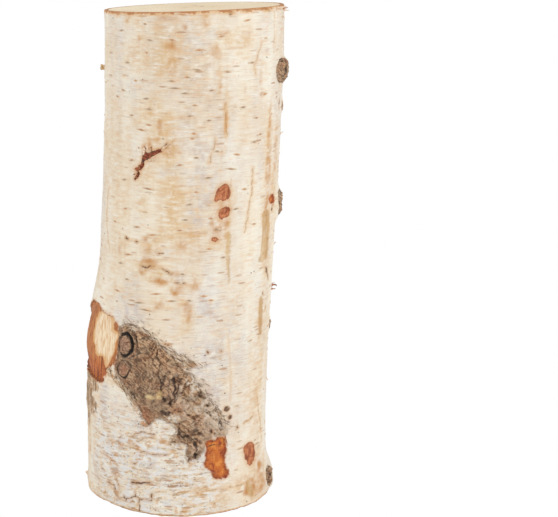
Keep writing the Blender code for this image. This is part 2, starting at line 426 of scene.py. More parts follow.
def ring_faces(columns, rows, lining_rows):
    """The faces of a closed sleeve: outer wall, inner wall, and the two cut rims, in that order."""
    column = np.arange(columns)
    beside = (column + 1) % columns
    outer = np.arange(rows + 1)[:, None] * columns
    inner = (np.arange(lining_rows + 1)[:, None] + rows + 1) * columns
    wall = np.stack(
        [outer[:-1] + column, outer[:-1] + beside, outer[1:] + beside, outer[1:] + column], axis=-1
    ).reshape(-1, 4)
    lining = np.stack(
        [inner[:-1] + beside, inner[:-1] + column, inner[1:] + column, inner[1:] + beside], axis=-1
    ).reshape(-1, 4)
    foot = np.stack([outer[0] + beside, outer[0] + column, inner[0] + column, inner[0] + beside], axis=-1)
    rim = np.stack([outer[-1] + column, outer[-1] + beside, inner[-1] + beside, inner[-1] + column], axis=-1)
    return wall, lining, foot, rim


def new_mesh(name, points, faces):
    mesh = bpy.data.meshes.new(name)
    mesh.from_pydata(points.tolist(), [], faces.tolist() if isinstance(faces, np.ndarray) else faces)
    mesh.validate()
    mesh.shade_smooth()
    return mesh


def add_piece(name, mesh):
    piece = bpy.data.objects.new(name, mesh)
    bpy.context.scene.collection.objects.link(piece)
    return piece


def store(mesh, name, values):
    attribute = mesh.attributes.new(name, "FLOAT", "POINT")
    attribute.data.foreach_set("value", np.asarray(values, dtype=np.float32).ravel())


def store_vectors(mesh, name, values):
    attribute = mesh.attributes.new(name, "FLOAT_VECTOR", "POINT")
    attribute.data.foreach_set("vector", np.asarray(values, dtype=np.float32).ravel())


def corner_points(mesh):
    """The number of the point at each face corner."""
    corners = np.empty(len(mesh.loops), dtype=np.int32)
    mesh.loops.foreach_get("vertex_index", corners)
    return corners


def store_map(mesh, corner_places):
    layer = mesh.uv_layers.new(name="OFBake")
    layer.data.foreach_set("uv", np.asarray(corner_places, dtype=np.float32).ravel())


def uneven(stops, steps):
    """Values from stop to stop, each stretch divided into steps of about the size given for it."""
    stretches = [
        np.linspace(low, high, max(1, round((high - low) / step)), endpoint=False)
        for low, high, step in zip(stops, stops[1:], steps)
    ]
    return np.concatenate([*stretches, [stops[-1]]])


def bark_mesh():
    angles = np.radians(uneven((-98.0, 98.0, 262.0), (0.95, 3.0)))[:-1]
    levels = (0.0, 0.0010, 0.062, 0.130, CUT_HEIGHT - 0.0012, CUT_HEIGHT)
    heights = uneven(levels, (0.0005, 0.00072, 0.00088, 0.00098, 0.0004))
    lining_rows = np.linspace(0, len(heights) - 1, 15).astype(int)
    columns = len(angles)
    angle, height = np.meshgrid(angles, heights)
    across = turn_between(angle, 0.0) * TRUNK_RADIUS

    # Columns and rows near a mark's edge are pulled onto it, so that the edge is crisp
    def edge_gap(x, y):
        marks = bark_marks(x, y)
        return np.min([marks["stripped"], marks["orange"], marks["rust"], marks["split"]], axis=0)

    nudge = 0.0002
    near = edge_gap(across, height)
    slope_x = (edge_gap(across + nudge, height) - edge_gap(across - nudge, height)) / (2.0 * nudge)
    slope_y = (edge_gap(across, height + nudge) - edge_gap(across, height - nudge)) / (2.0 * nudge)
    pull = near * (np.abs(near) < 0.00042)
    steep = np.maximum(slope_x**2 + slope_y**2, 0.3)
    angle = angle - pull * slope_x / steep / TRUNK_RADIUS
    height = np.clip(height - pull * slope_y / steep, 0.0, CUT_HEIGHT)
    height[0] = 0.0
    height[-1] = CUT_HEIGHT
    across = turn_between(angle, 0.0) * TRUNK_RADIUS

    marks = bark_marks(across, height)
    radius = trunk_radius(angle, height) + bark_relief(across, height, marks)
    frayed = 0.00045 * (1.0 + layered_noise(across, height, 0.004, 0.002, 51))
    at_base = smoothstep(0.0008, 0.0, height)
    at_top = smoothstep(CUT_HEIGHT - 0.0009, CUT_HEIGHT, height)
    radius = radius - frayed * (at_base + at_top)
    outer = at_radius(angle, height, radius).reshape(-1, 3)

    # The lining is coarse, for it only shows at the two rims, and lies well inside the wood between them
    lining_angle = angle[lining_rows]
    lining_height = height[lining_rows]
    lining = trunk_radius(lining_angle, lining_height) - BARK_THICKNESS
    lining[1:-1] -= LINING_SINK
    inner = at_radius(lining_angle, lining_height, lining).reshape(-1, 3)

    wall, lining_faces, foot, rim = ring_faces(columns, len(heights) - 1, len(lining_rows) - 1)
    faces = np.concatenate([wall, lining_faces, foot, rim])
    mesh = new_mesh("bark", np.concatenate([outer, inner]), faces)

    def whole(values):
        """One value for every vertex, of the wall and then of the lining."""
        return np.concatenate([values.ravel(), values[lining_rows].ravel()])

    for name, distance in marks.items():
        store(mesh, f"{name}_gap", whole(distance) / MM)
    from_end = np.minimum(height * 1.4, (CUT_HEIGHT - height) * 0.7)
    store(mesh, "rim_gap", np.concatenate([from_end.ravel(), np.zeros(inner.shape[0])]) / MM)
    for name, tint in bark_tints(across, height).items():
        store(mesh, name, whole(tint))

    turn = np.arange(columns) / columns
    next_turn = (np.arange(columns) + 1) / columns
    step = heights / CUT_HEIGHT

    def strips(low, high):
        shape = (len(low), columns)
        left_low = np.broadcast_to(turn, shape)
        right_low = np.broadcast_to(next_turn, shape)
        bottom = np.broadcast_to(np.asarray(low)[:, None], shape)
        top = np.broadcast_to(np.asarray(high)[:, None], shape)
        return left_low, right_low, bottom, top

    left, right, bottom, top = strips(step[:-1] * 0.88, step[1:] * 0.88)
    wall_map = np.stack([left, bottom, right, bottom, right, top, left, top], axis=-1).reshape(-1, 2)
    lining_step = step[lining_rows]
    left, right, bottom, top = strips(0.95 + lining_step[:-1] * 0.05, 0.95 + lining_step[1:] * 0.05)
    lining_map = np.stack([right, bottom, left, bottom, left, top, right, top], axis=-1).reshape(-1, 2)
    left, right, bottom, top = strips([0.885], [0.91])
    foot_map = np.stack([right, bottom, left, bottom, left, top, right, top], axis=-1).reshape(-1, 2)
    left, right, bottom, top = strips([0.915], [0.94])
    rim_map = np.stack([left, bottom, right, bottom, right, top, left, top], axis=-1).reshape(-1, 2)
    store_map(mesh, np.concatenate([wall_map, lining_map, foot_map, rim_map]))
    mesh.polygons.foreach_set(
        "material_index", np.repeat([0, 1], [len(wall), len(faces) - len(wall)]).astype(np.int32)
    )
    return mesh


# Soft stains: angle in degrees, height in millimetres, half width and half height in millimetres, strength
TAN_STAINS = (
    (-47, 84.5, 5, 3, 1), (-41.5, 81.5, 5, 2.6, 1), (-34, 78.5, 4, 2.8, 1), (-28.5, 73.5, 2.6, 3.8, 1),
    (-72, 42, 8, 12, 0.9), (-78, 30, 6, 14, 0.5), (-75, 4, 8, 3, 0.9), (-67, 2.5, 6, 2, 0.9),
    (-18, 3.5, 12, 1.6, 0.8), (-45, 60, 1.6, 6, 0.6), (15, 10.5, 12, 6, 0.5), (27.5, 15, 10, 6, 0.7),
    (58, 14, 9, 12, 1), (70, 25, 8, 14, 0.8), (50, 8, 10, 6, 0.8), (62, 190, 5, 34, 0.8),
    (-2, 95.5, 3, 3, 0.8), (8.2, 93, 6, 1.6, 0.8), (3.7, 115.5, 3, 4, 0.6), (-17, 233, 5, 9, 0.8),
    (-20, 226, 8, 5, 0.9), (-9.5, 281, 5, 9, 0.6), (-8.5, 272, 4, 8, 0.8), (-32, 283, 3, 10, 0.6),
    (-38, 275, 6, 6, 0.4), (9, 293, 5, 6, 0.8), (24, 284, 7, 5, 0.7), (35.5, 279, 7, 6, 0.7),
    (-24, 245, 6, 6, 0.8), (-28, 240, 6, 5, 0.5), (-41, 296, 4, 3, 0.8), (-10, 219, 6, 5, 0.9),
    (-12, 215, 5, 4, 0.6), (19, 260, 2, 12, 0.8), (24.5, 237, 1.6, 15, 0.9), (16, 275, 5, 7, 0.8),
    (-21, 170.5, 8, 2, 0.7), (-20, 163, 6, 5, 0.9), (-20.5, 154, 8, 4, 1), (-25, 149.5, 4, 3, 0.9),
    (-13, 145.5, 9, 4, 1), (-2.5, 138.5, 4, 4, 1), (3.7, 130.5, 4, 4, 0.7), (6, 123, 4, 8, 0.9),
    (10, 171.5, 5, 2.5, 0.9), (21.5, 179, 4, 5, 1), (29, 172, 2, 10, 0.7), (21, 164, 6, 4, 0.9),
    (8, 143.5, 6, 6, 0.6), (-12.5, 129, 8, 5, 0.6), (-27, 135, 7, 5, 0.4), (-7, 184, 2.5, 12, 0.8),
    (-27, 187.5, 5, 5, 0.6), (-42, 182, 5, 6, 0.4), (46, 158, 6, 8, 0.5), (24, 190, 8, 10, 0.5),
    (61, 222, 3, 20, 1), (62, 202, 3.5, 12, 0.9), (63.5, 286, 2.5, 14, 0.7), (63.5, 168, 4.5, 18, 1),
    (66, 148, 4, 10, 0.7), (62, 116, 4, 14, 0.9), (71, 200, 6, 34, 0.6), (-58, 56, 4, 11, 0.5),
    (47, 14, 10, 8, 0.9), (62, 20, 8, 12, 0.9), (32, 14, 8, 3, 0.8), (12, 11, 12, 4, 0.5),
    (-60, 24, 6, 8, 0.5), (68, 60, 5, 26, 0.6), (-36, 62, 4, 9, 0.5), (-30, 40, 9, 8, 0.5),
    (0, 26, 12, 6, 0.4), (5, 246, 12, 30, 0.5), (-4, 46, 7, 3, 0.9), (-8, 40, 9, 3, 0.7),
    (4, 22, 14, 3, 0.6), (-10, 13, 12, 3, 0.6), (20, 8, 14, 3, 0.7),
)
COOL_STAINS = (
    (5.2, 273, 5, 9, 0.8), (13.8, 285.5, 4, 3, 0.8), (-60, 273, 3, 10, 0.5), (-37.8, 255.5, 4, 6, 0.5),
    (14, 247, 5, 8, 0.7), (-34, 123.5, 7, 5, 1), (-7.3, 99.5, 6, 5, 0.8), (24.5, 85, 9, 14, 1),
    (9.2, 87, 7, 3, 0.8), (-52, 73, 3, 4, 0.9), (-39, 38, 5, 7, 1), (-52, 62, 5, 10, 1),
    (-22.5, 54, 7, 5, 1), (-16.5, 30, 8, 4, 1), (-31, 13.5, 5, 3, 1), (-6, 25, 9, 6, 1),
    (-63, 23, 4, 10, 1), (-42.2, 24.5, 5, 4, 1), (-38.5, 12, 4, 3, 1), (-49.5, 34.5, 4, 6, 1),
    (1.5, 144.6, 6, 2.4, 1), (3.5, 275, 6, 16, 0.7), (12, 250, 6, 14, 0.9), (10, 240, 6, 14, 0.9),
    (12.5, 229, 7, 12, 0.9), (10, 222, 8, 10, 0.9), (9, 209, 9, 9, 0.9), (-11, 208.5, 7, 4, 0.9),
    (-3, 210, 6, 4, 0.8), (-12.5, 160.5, 6, 2.4, 0.8), (-6, 147.5, 6, 3, 0.9), (0, 145.5, 5, 3, 0.9),
    (8, 186, 7, 9, 0.9), (11, 180, 7, 5, 0.7), (-33.5, 130, 8, 6, 1), (-33, 123, 10, 6, 1),
    (-32, 140, 5, 8, 0.7), (6, 205, 8, 6, 0.7), (14, 197, 7, 12, 0.9), (16, 127, 12, 10, 0.7),
    (24, 96, 16, 14, 0.8), (-52, 66, 5, 8, 0.7), (-44, 60, 8, 9, 0.7), (0, 8, 7, 2.4, 1),
    (-15, 26, 10, 6, 0.8), (40, 100, 8, 30, 0.5), (-52, 270, 5, 24, 0.4), (54, 208, 4, 16, 0.5),
    (-45, 40, 5, 10, 0.7), (5, 20, 10, 3, 0.7), (5, 246, 13, 34, 0.9), (32, 90, 16, 26, 0.5),
    (-28, 20, 12, 4, 0.8), (-40, 62, 8, 9, 0.8),
)
OCHRE_STAINS = (
    (-2, 138, 4.2, 2.6, 0.9), (-12, 143.5, 5, 1.8, 0.8), (-21.2, 155, 5.5, 2.4, 0.8),
    (-22.2, 168, 4, 1.6, 0.6), (8.8, 171.5, 4.5, 1.8, 0.6), (-25, 149.5, 1.8, 3, 0.8),
    (9, 140.5, 3, 4, 0.5), (22, 176, 4, 6, 0.8), (0.2, 147.8, 2.4, 1, 0.8), (-21.8, 161, 4, 2.6, 0.5),
    (0.5, 165.5, 2.4, 3.6, 0.4), (-43.2, 160.5, 2, 3, 0.4), (-9.8, 279.5, 3.4, 3, 0.6),
    (-32, 281.5, 1.6, 3.4, 0.6), (-36.2, 274, 4, 4.6, 0.35), (9.8, 292.5, 2.6, 2.8, 0.8),
    (-2.2, 290.5, 1.4, 2, 0.8), (-9.8, 268, 3, 5, 0.5), (-41.2, 295.4, 2, 2.6, 0.6),
    (-12.2, 295, 5, 1.6, 0.6), (14.5, 273.5, 4.6, 5.4, 0.5), (63.6, 283, 0.8, 12, 0.5),
    (83.5, 277.5, 1.6, 5, 0.5), (58.5, 274, 4, 1.6, 0.5), (33.5, 277, 6, 1, 0.5), (38.2, 285, 4, 0.8, 0.4),
    (23.2, 286.5, 3, 2, 0.5), (19.8, 256, 0.9, 5, 0.5), (22.8, 245, 1, 4, 0.6), (50, 259.5, 1, 4, 0.4),
    (52.2, 249.5, 3.4, 1, 0.7), (37.5, 258, 0.8, 6, 0.4), (62, 205, 2.4, 22, 0.9), (64, 180, 3, 18, 1),
    (66, 160, 3, 12, 0.9), (54, 13, 6, 3, 0.9), (60, 8, 6, 4, 0.8), (66, 20, 5, 6, 0.8),
    (-37.2, 44, 2, 4, 1), (-30.2, 44, 3, 1.6, 0.9), (-24, 35, 2, 2, 1), (-47.8, 30, 2.6, 1.8, 1),
    (-41.8, 21, 3, 1.8, 0.9), (-49.2, 14, 2, 2.4, 0.7), (-23.8, 50.5, 4, 0.8, 0.9),
    (-33.5, 6.5, 1.2, 0.8, 1), (-13, 129, 3, 3, 0.5), (5, 128, 2, 4, 0.6), (-2, 136.5, 3, 1.6, 0.6),
    (64, 172, 4, 14, 0.8), (66, 150, 3, 7, 0.6), (64, 112, 2.6, 12, 0.6), (72, 214, 3, 16, 0.6),
    (24, 186, 6, 8, 0.5), (28, 174, 2.4, 7, 0.6), (60, 60, 6, 20, 0.3), (26.5, 297, 2.4, 1.6, 0.9),
    (-37.5, 43.5, 1.8, 4, 0.9), (-24.5, 40.5, 1.6, 3, 0.8), (-24.5, 34.5, 2, 2.6, 0.9),
    (-47, 29, 3, 2, 0.8), (-41.5, 20.5, 3, 2.4, 0.8), (-71.5, 30.5, 1.4, 3, 0.8), (-42, 10, 2, 3, 0.9),
    (-33, 6, 2.6, 1.4, 0.9), (61, 226, 1.4, 16, 0.9), (24.3, 237, 0.9, 9, 0.9), (9, 295, 2.6, 2, 0.7),
    (-14.5, 222.5, 6, 3, 0.7), (-9, 219, 5, 1.6, 0.8), (-20.5, 151, 5, 1.6, 0.7), (6, 124, 1.6, 5, 0.6),
    (20, 176.5, 3, 3, 0.8), (46, 17, 5, 1.5, 0.6), (66, 12, 4, 6, 0.7), (51, 10.5, 6, 5, 1),
    (9.5, 92.6, 3.4, 1.3, 0.7), (-44, 83, 4, 1.4, 0.9), (-36, 79.5, 4, 1.6, 0.8),
    (-25.4, 67.5, 1.4, 4, 0.9), (-20, 57, 2.4, 2, 1), (-16.5, 54.5, 2.4, 2, 0.9), (-6, 53.5, 3, 1.6, 0.7),
    (-8, 46, 3.6, 1.4, 0.7), (-37.2, 45.5, 1.6, 3.4, 0.9), (-23, 35, 1.8, 2.4, 1), (-20, 226, 4, 2, 0.6),
    (-17, 234, 1.4, 5, 0.6), (-30, 13, 3, 2, 0.6),
)


def bark_tints(across, upward):
    """Soft shares of tan, cool grey and ochre over the bark, and where it is hairy, wrinkled or rough."""
    turned = turn_between(across / TRUNK_RADIUS, 0.0)
    degrees = np.degrees(turned)
    x = turned * TRUNK_RADIUS / MM
    y = upward / MM
    grain = layered_noise(across, upward, 0.009, 0.055, 61)
    cloud = layered_noise(across, upward, 0.022, 0.016, 64)
    patchy = 0.76 + 0.62 * layered_noise(across, upward, 0.0032, 0.0040, 70)

    def stained(stains):
        total = np.zeros(across.shape)
        for middle_turn, middle, half_width, half_height, strength in stains:
            sideways = turn_between(turned, math.radians(middle_turn)) * TRUNK_RADIUS / (half_width * MM)
            up = (upward - middle * MM) / (half_height * MM)
            total = np.maximum(total, strength * np.exp(-((sideways**2 + up**2) ** 1.7) * 0.7))
        return total * patchy

    # The middle of the front is tanner than its two sides, and more so in the upper half
    middle_band = np.exp(-(((degrees + 10.0) / 26.0) ** 2)) * smoothstep(120.0, 170.0, y)
    half_way = np.exp(-(((y - 188.0) / 34.0) ** 2))
    tan = 0.21 + 0.24 * grain + 0.20 * cloud + (0.34 + 0.18 * half_way) * middle_band
    cool = 0.15 + 0.26 * layered_noise(across, upward, 0.011, 0.060, 67) - 0.10 * cloud
    tan_stain = stained(TAN_STAINS)
    cool_stain = stained(COOL_STAINS)

    # Hairs stand above the scar, wrinkles lie below it, and rough strips run down beside the bared wood
    along_scar = x * 0.75 + y * 0.66
    beside_scar = smoothstep(-2.0, 5.0, along_scar - 52.0) * smoothstep(44.0, 52.0, y)
    strip_edge = -62.0 - 8.0 * smoothstep(64.0, 42.0, y)
    strip_edge = strip_edge + 5.0 * layered_noise(across, upward, 0.004, 0.006, 72)
    ragged = layered_noise(across, upward, 0.0016, 0.011, 76)
    strip = smoothstep(strip_edge + 1.5, strip_edge - 2.5, degrees)
    strip = strip * smoothstep(-112.0, -84.0, degrees + 12.0 * ragged + 6.0 * cloud)
    strip = strip * smoothstep(84.0, 77.0, y + 5.0 * cloud)
    fan_along = (x - 3.6) * 0.84 - (y - 97.0) * 0.54
    fan_aside = (y - 97.0) * 0.84 + (x - 3.6) * 0.54
    fan = np.exp(-(np.hypot(fan_along / 12.0, fan_aside / 3.3) ** 4))
    return {
        "hairy": beside_scar,
        "fan": np.clip(fan * patchy, 0.0, 1.0),
        "wrinkled": smoothstep(74.0, 46.0, y + 6.0 * cloud) * smoothstep(58.0, 34.0, np.abs(degrees + 18.0)),
        "rough": strip * smoothstep(40.0, 60.0, y + 10.0 * ragged + 4.0 * cloud),
        "tan": np.clip(tan * (1.0 - 0.6 * cool_stain) + 0.7 * tan_stain, 0.0, 1.0),
        "cool": np.clip(cool + 0.8 * cool_stain - 0.4 * tan_stain, 0.0, 1.0),
        "ochre": np.clip(0.85 * stained(OCHRE_STAINS), 0.0, 1.0),
    }


def paint(red, green, blue):
    """A colour given in ordinary 0 to 255 steps, as Blender's linear one."""
    parts = [value / 255.0 for value in (red, green, blue)]
    return (*[part / 12.92 if part <= 0.04045 else ((part + 0.055) / 1.055) ** 2.4 for part in parts], 1.0)


def feed(tree, socket, value):
    """The socket takes another node's output, or a value of its own."""
    if isinstance(value, Wire):
        value = value.socket
    if isinstance(value, bpy.types.NodeSocket):
        tree.links.new(value, socket)
    else:
        socket.default_value = value


def add_node(tree, kind, sockets=(), **settings):
    """One node with its settings made and its sockets, given by name or number, fed."""
    node = tree.nodes.new(kind)
    for name, setting in settings.items():
        setattr(node, name, setting)
    for name, value in dict(sockets).items():
        feed(tree, node.inputs[name], value)
    return node


class Wire:
    """What comes out of a material's node. A sum written with it adds the node that works the sum out."""

    def __init__(self, finish, socket):
        self.finish = finish
        self.socket = socket

    def __add__(self, other):
        return self.finish.sums("ADD", self, other)

    def __sub__(self, other):
        return self.finish.sums("SUBTRACT", self, other)

    def __rsub__(self, other):
        return self.finish.sums("SUBTRACT", other, self)

    def __mul__(self, other):
        return self.finish.sums("MULTIPLY", self, other)

    def __truediv__(self, other):
        return self.finish.sums("DIVIDE", self, other)


class Finish:
    """A material whose nodes are added one call at a time."""

    def __init__(self, name):
        self.material = bpy.data.materials.new(name)
        self.material.use_nodes = True
        self.tree = self.material.node_tree
        self.place = self.wire("Object", "ShaderNodeTexCoord")

    def wire(self, output, kind, sockets=(), **settings):
        return Wire(self, add_node(self.tree, kind, sockets, **settings).outputs[output])

    def stretched(self, across, upward, turn=0.0, shift=0.0):
        """Object coordinates counted in cells of this many metres across and upward."""
        turned = self.place
        if turn:
            turned = self.wire(
                "Vector", "ShaderNodeVectorRotate", {"Vector": turned, "Angle": turn}, rotation_type="Y_AXIS"
            )
        scale = (1.0 / across, 1.0 / across, 1.0 / upward)
        sockets = {"Vector": turned, "Scale": scale, "Location": (shift, shift, 0.0)}
        return self.wire("Vector", "ShaderNodeMapping", sockets)

    def noise_at(self, place, detail, roughness, distortion=0.0):
        sockets = {
            "Vector": place, "Scale": 1.0, "Detail": detail, "Roughness": roughness, "Distortion": distortion
        }
        return self.wire("Fac", "ShaderNodeTexNoise", sockets)

    def noise(self, across, upward, detail, roughness, distortion=0.0, **placing):
        return self.noise_at(self.stretched(across, upward, **placing), detail, roughness, distortion)

    def cells(self, across, upward, shift):
        """How far the middle of a cell is, and two numbers that differ from cell to cell."""
        sockets = {"Vector": self.stretched(across, upward, shift=shift), "Scale": 1.0}
        cell = add_node(self.tree, "ShaderNodeTexVoronoi", sockets)
        pick = add_node(self.tree, "ShaderNodeSeparateColor", {"Color": cell.outputs["Color"]})
        return [Wire(self, socket) for socket in (cell.outputs["Distance"], *pick.outputs[:2])]

    def value(self, name):
        return self.wire("Fac", "ShaderNodeAttribute", attribute_name=name)

    def sums(self, operation, first, second=0.0):
        return self.wire(0, "ShaderNodeMath", {0: first, 1: second}, operation=operation)

    def between(self, value, low, high, low_result=0.0, high_result=1.0):
        """A smooth change from one result to the other as the value goes from low to high."""
        sockets = {
            "Value": value, "From Min": low, "From Max": high, "To Min": low_result, "To Max": high_result
        }
        return self.wire("Result", "ShaderNodeMapRange", sockets, interpolation_type="SMOOTHSTEP")

    def over(self, share, under, upper):
        """The upper colour laid over the other by its share."""
        return self.wire(2, "ShaderNodeMix", {0: share, 6: under, 7: upper}, data_type="RGBA")

    def laid(self, share, under, red, green, blue, strength=1.0):
        """A colour laid over the other by its share, which the strength weakens."""
        if strength != 1.0:
            share = share * strength
        return self.over(share, under, paint(red, green, blue))

    def shows(self, colour, roughness, height, depth):
        """The finished material. Its bumps are this many metres deep where the height goes from 0 to 1."""
        bumps = self.wire("Normal", "ShaderNodeBump", {"Height": height, "Strength": 1.0, "Distance": depth})
        shader = self.tree.nodes["Principled BSDF"]
        for name, value in (("Base Color", colour), ("Roughness", roughness), ("Normal", bumps)):
            feed(self.tree, shader.inputs[name], value)
        return self.material


def inside(finish, name, wander):
    """The share of a point that lies inside a mark's outline, with a crisp but natural edge."""
    return finish.between(finish.value(f"{name}_gap") + wander, 0.25, -0.25)


def paper_bark():
    finish = Finish("birch_bark")
    between = finish.between
    laid = finish.laid
    noise = finish.noise
    over = finish.over
    value = finish.value
    clouds = noise(0.020, 0.028, 4.0, 0.6)
    streaks = noise(0.0028, 0.045, 3.0, 0.6, 0.3)
    fibres = noise(0.0100, 0.00042, 3.0, 0.6)
    layers = noise(0.0070, 0.0016, 3.0, 0.55, shift=7.0)
    grain = noise(0.00055, 0.00055, 2.0, 0.6)
    scribble = noise(0.0022, 0.0013, 4.0, 0.7, 1.2, shift=3.0)
    flakes = noise(0.0060, 0.0040, 4.0, 0.65, 0.6, shift=13.0)
    mottle = layers * 0.5 + flakes * 0.3 + streaks * 0.2

    colour = over(between(clouds, 0.35, 0.65), paint(248, 241, 224), paint(240, 228, 208))
    mauve = over(between(flakes, 0.42, 0.60), paint(223, 217, 209), paint(205, 192, 188))
    colour = over(value("cool") * 0.85, colour, mauve)
    tan = value("tan") * between(mottle, 0.38, 0.60, 0.45, 1.20)
    colour = laid(tan, colour, 220, 184, 134, 0.82)
    colour = laid(between(layers, 0.56, 0.68), colour, 233, 194, 154, 0.42)
    weathered = value("cool") * between(fibres, 0.50, 0.70)
    colour = laid(weathered, colour, 166, 144, 130, 0.50)
    colour = laid(between(layers, 0.40, 0.28), colour, 247, 242, 233, 0.50)
    colour = laid(between(flakes, 0.58, 0.66), colour, 247, 242, 234, 0.35)
    colour = laid(between(fibres, 0.54, 0.74), colour, 200, 170, 142, 0.42)
    colour = laid(between(streaks, 0.64, 0.80), colour, 220, 178, 126, 0.24)
    colour = laid(between(scribble, 0.60, 0.69), colour, 170, 134, 104, 0.36)
    colour = laid(between(grain, 0.60, 0.80), colour, 166, 134, 106, 0.22)
    ochre = value("ochre") * between(flakes, 0.32, 0.52, 0.35, 1.1)
    colour = laid(ochre, colour, 196, 134, 72, 0.90)

    # Below the scar the bark is wrinkled, with level streaks from white to brown and small dark flecks
    bands = noise(0.0095, 0.0016, 5.0, 0.72, 0.8, shift=17.0)
    wrinkled = value("wrinkled")
    colour = laid(wrinkled * between(bands, 0.50, 0.40), colour, 240, 238, 232, 0.90)
    colour = laid(wrinkled * between(bands, 0.55, 0.63), colour, 166, 122, 84, 0.82)
    colour = laid(wrinkled * between(scribble, 0.58, 0.65), colour, 90, 64, 48, 0.80)
    colour = laid(wrinkled * between(flakes, 0.57, 0.63), colour, 210, 158, 96, 0.60)
    colour = laid(wrinkled * between(flakes, 0.48, 0.40), colour, 231, 229, 227, 0.80)

    # Faint lenticels: thin level dashes where the surface cuts flat cells
    off_middle, chosen, faintness = finish.cells(0.0105, 0.0021, 11.0)
    dash = between(off_middle, 0.36, 0.20) * between(chosen, 0.80, 0.83)
    dash = dash * between(faintness, 0.0, 1.0, 0.25, 0.85)
    colour = laid(dash, colour, 190, 148, 114)

    # Dark specks, thickest beside the scar
    near_scar = between(value("scar_gap"), 16.0, 0.0)
    off_middle, chosen, _ = finish.cells(0.0016, 0.0014, 5.0)
    speck = between(off_middle, 0.42, 0.22) * between(chosen, 0.996 - near_scar * 0.12, 1.0)
    colour = laid(speck, colour, 112, 88, 72)

    # Dark hairs and brown dust above the scar, in patches, and a painted shadow in a thin line close below it
    scar_gap = value("scar_gap")
    hairs = noise(0.0050, 0.00080, 3.0, 0.6, 0.8, turn=math.radians(-40), shift=2.0)
    patches = noise(0.0090, 0.0075, 3.0, 0.6, shift=21.0)
    reach = between(patches, 0.38, 0.66, 2.0, 11.0)
    near = 1.0 - scar_gap / reach
    fringe = between(near, 0.0, 0.8) * value("hairy")
    fringe = finish.sums("MAXIMUM", fringe, value("fan") * 0.65)
    thread = between(hairs, 0.53, 0.60) * fringe
    colour = laid(fringe, colour, 200, 166, 134, 0.38)
    colour = laid(thread, colour, 112, 88, 72, 0.72)
    # Painted shadow under the raised scar's edge, on the side away from the hairs
    below = between(scar_gap, 1.4, 0.1) * (1.0 - value("hairy"))
    colour = laid(below * between(scribble, 0.35, 0.60), colour, 150, 116, 88, 0.8)

    # Rough upright fibres beside the stripped place
    upright = noise(0.0010, 0.0085, 4.0, 0.7, 0.4, shift=23.0)
    colour = laid(value("rough") * between(scribble, 0.38, 0.54, 0.35, 1.0), colour, 212, 168, 118, 0.90)
    rough = value("rough") * between(upright, 0.48, 0.55)
    colour = laid(rough, colour, 112, 80, 56, 0.90)

    # Parted seams and dark cracks, whose edges wander
    wander = (scribble - 0.5) * 2.0
    seam = value("seam_gap") + wander * 0.5
    parted = between(grain, 0.36, 0.56, 0.25, 0.9)
    colour = laid(between(seam, 1.6, 0.0), colour, 224, 186, 138, 0.45)
    colour = laid(between(seam, 0.15, -0.25) * parted, colour, 166, 122, 80, 0.75)
    crack = value("crack_gap") + wander * 0.35
    broken = between(scribble, 0.34, 0.52, 0.35, 1.0)
    colour = laid(between(crack, 1.7, 0.1), colour, 206, 160, 112, 0.55)

    # Rubbed and torn places, from the palest to the darkest
    for name, far, tint, share in (
        ("stripped", 1.6, (214, 158, 106), 0.6),
        ("orange", 1.4, (214, 158, 110), 0.6),
        ("rust", 2.6, (222, 176, 128), 0.6),
        ("split", 2.6, (219, 168, 118), 0.7),
    ):
        halo = between(value(f"{name}_gap") + wander, far, 0.0)
        colour = laid(halo, colour, *tint, share)

    strip = between(value("strip_gap") + wander * 1.3, 0.7, -0.7)
    strip = strip * between(scribble, 0.34, 0.56, 1.0, 0.70)
    ochre_layer = over(between(streaks, 0.38, 0.62), paint(188, 146, 94), paint(212, 176, 124))
    colour = over(strip * 0.92, colour, ochre_layer)

    # The stripped place: torn inner bark, redder low down, with the pale wood bared in its middle
    stripped = inside(finish, "stripped", wander)
    lengthwise = noise(0.0011, 0.0120, 4.0, 0.65, shift=4.0)
    torn_bark = over(between(lengthwise, 0.35, 0.65), paint(158, 86, 38), paint(208, 138, 78))
    height_here = finish.wire("Z", "ShaderNodeSeparateXYZ", {"Vector": finish.place})
    low_part = between(height_here + wander * 0.002, 0.091, 0.086)
    red_streaks = between(lengthwise * 0.7 + scribble * 0.3, 0.42, 0.58)
    red_bark = over(red_streaks, paint(132, 60, 28), paint(206, 118, 56))
    torn_bark = over(low_part, torn_bark, red_bark)
    colour = over(stripped, colour, torn_bark)
    bare = over(between(lengthwise, 0.38, 0.58), paint(224, 178, 126), paint(248, 228, 196))
    bare_depth = value("bared_gap") + wander
    bare = laid(between(bare_depth, -2.6, -0.4), bare, 226, 178, 122)
    colour = over(between(bare_depth, 0.30, -0.20), colour, bare)
    stripped_edge = between(value("stripped_gap") + wander, -1.2, -0.1)
    colour = laid(stripped * stripped_edge, colour, 134, 70, 36, 0.75)
    torn_lines = between(lengthwise + wander * 0.08, 0.37, 0.30)
    torn_lines = torn_lines * between(bare_depth, -0.2, 0.3) * stripped
    colour = laid(torn_lines, colour, 92, 48, 28, 0.8)

    # The rubbed orange places, the rust-coloured ones and the hooked split
    blotches = noise(0.0046, 0.0046, 4.0, 0.65, 0.5, shift=27.0)
    rubbed = over(between(blotches, 0.38, 0.50), paint(158, 68, 26), paint(204, 110, 38))
    rubbed = laid(between(blotches, 0.54, 0.66), rubbed, 222, 140, 58)
    rubbed = laid(between(lengthwise, 0.54, 0.64), rubbed, 226, 148, 72, 0.28)
    rubbed = laid(between(scribble, 0.55, 0.62), rubbed, 126, 52, 22, 0.72)
    orange_depth = value("orange_gap") + wander * 1.6
    orange_edge = between(orange_depth, -2.2, -0.4) * between(blotches, 0.60, 0.40, 0.45, 1.0)
    rubbed = laid(orange_edge, rubbed, 142, 62, 30)
    colour = over(inside(finish, "orange", wander), colour, rubbed)

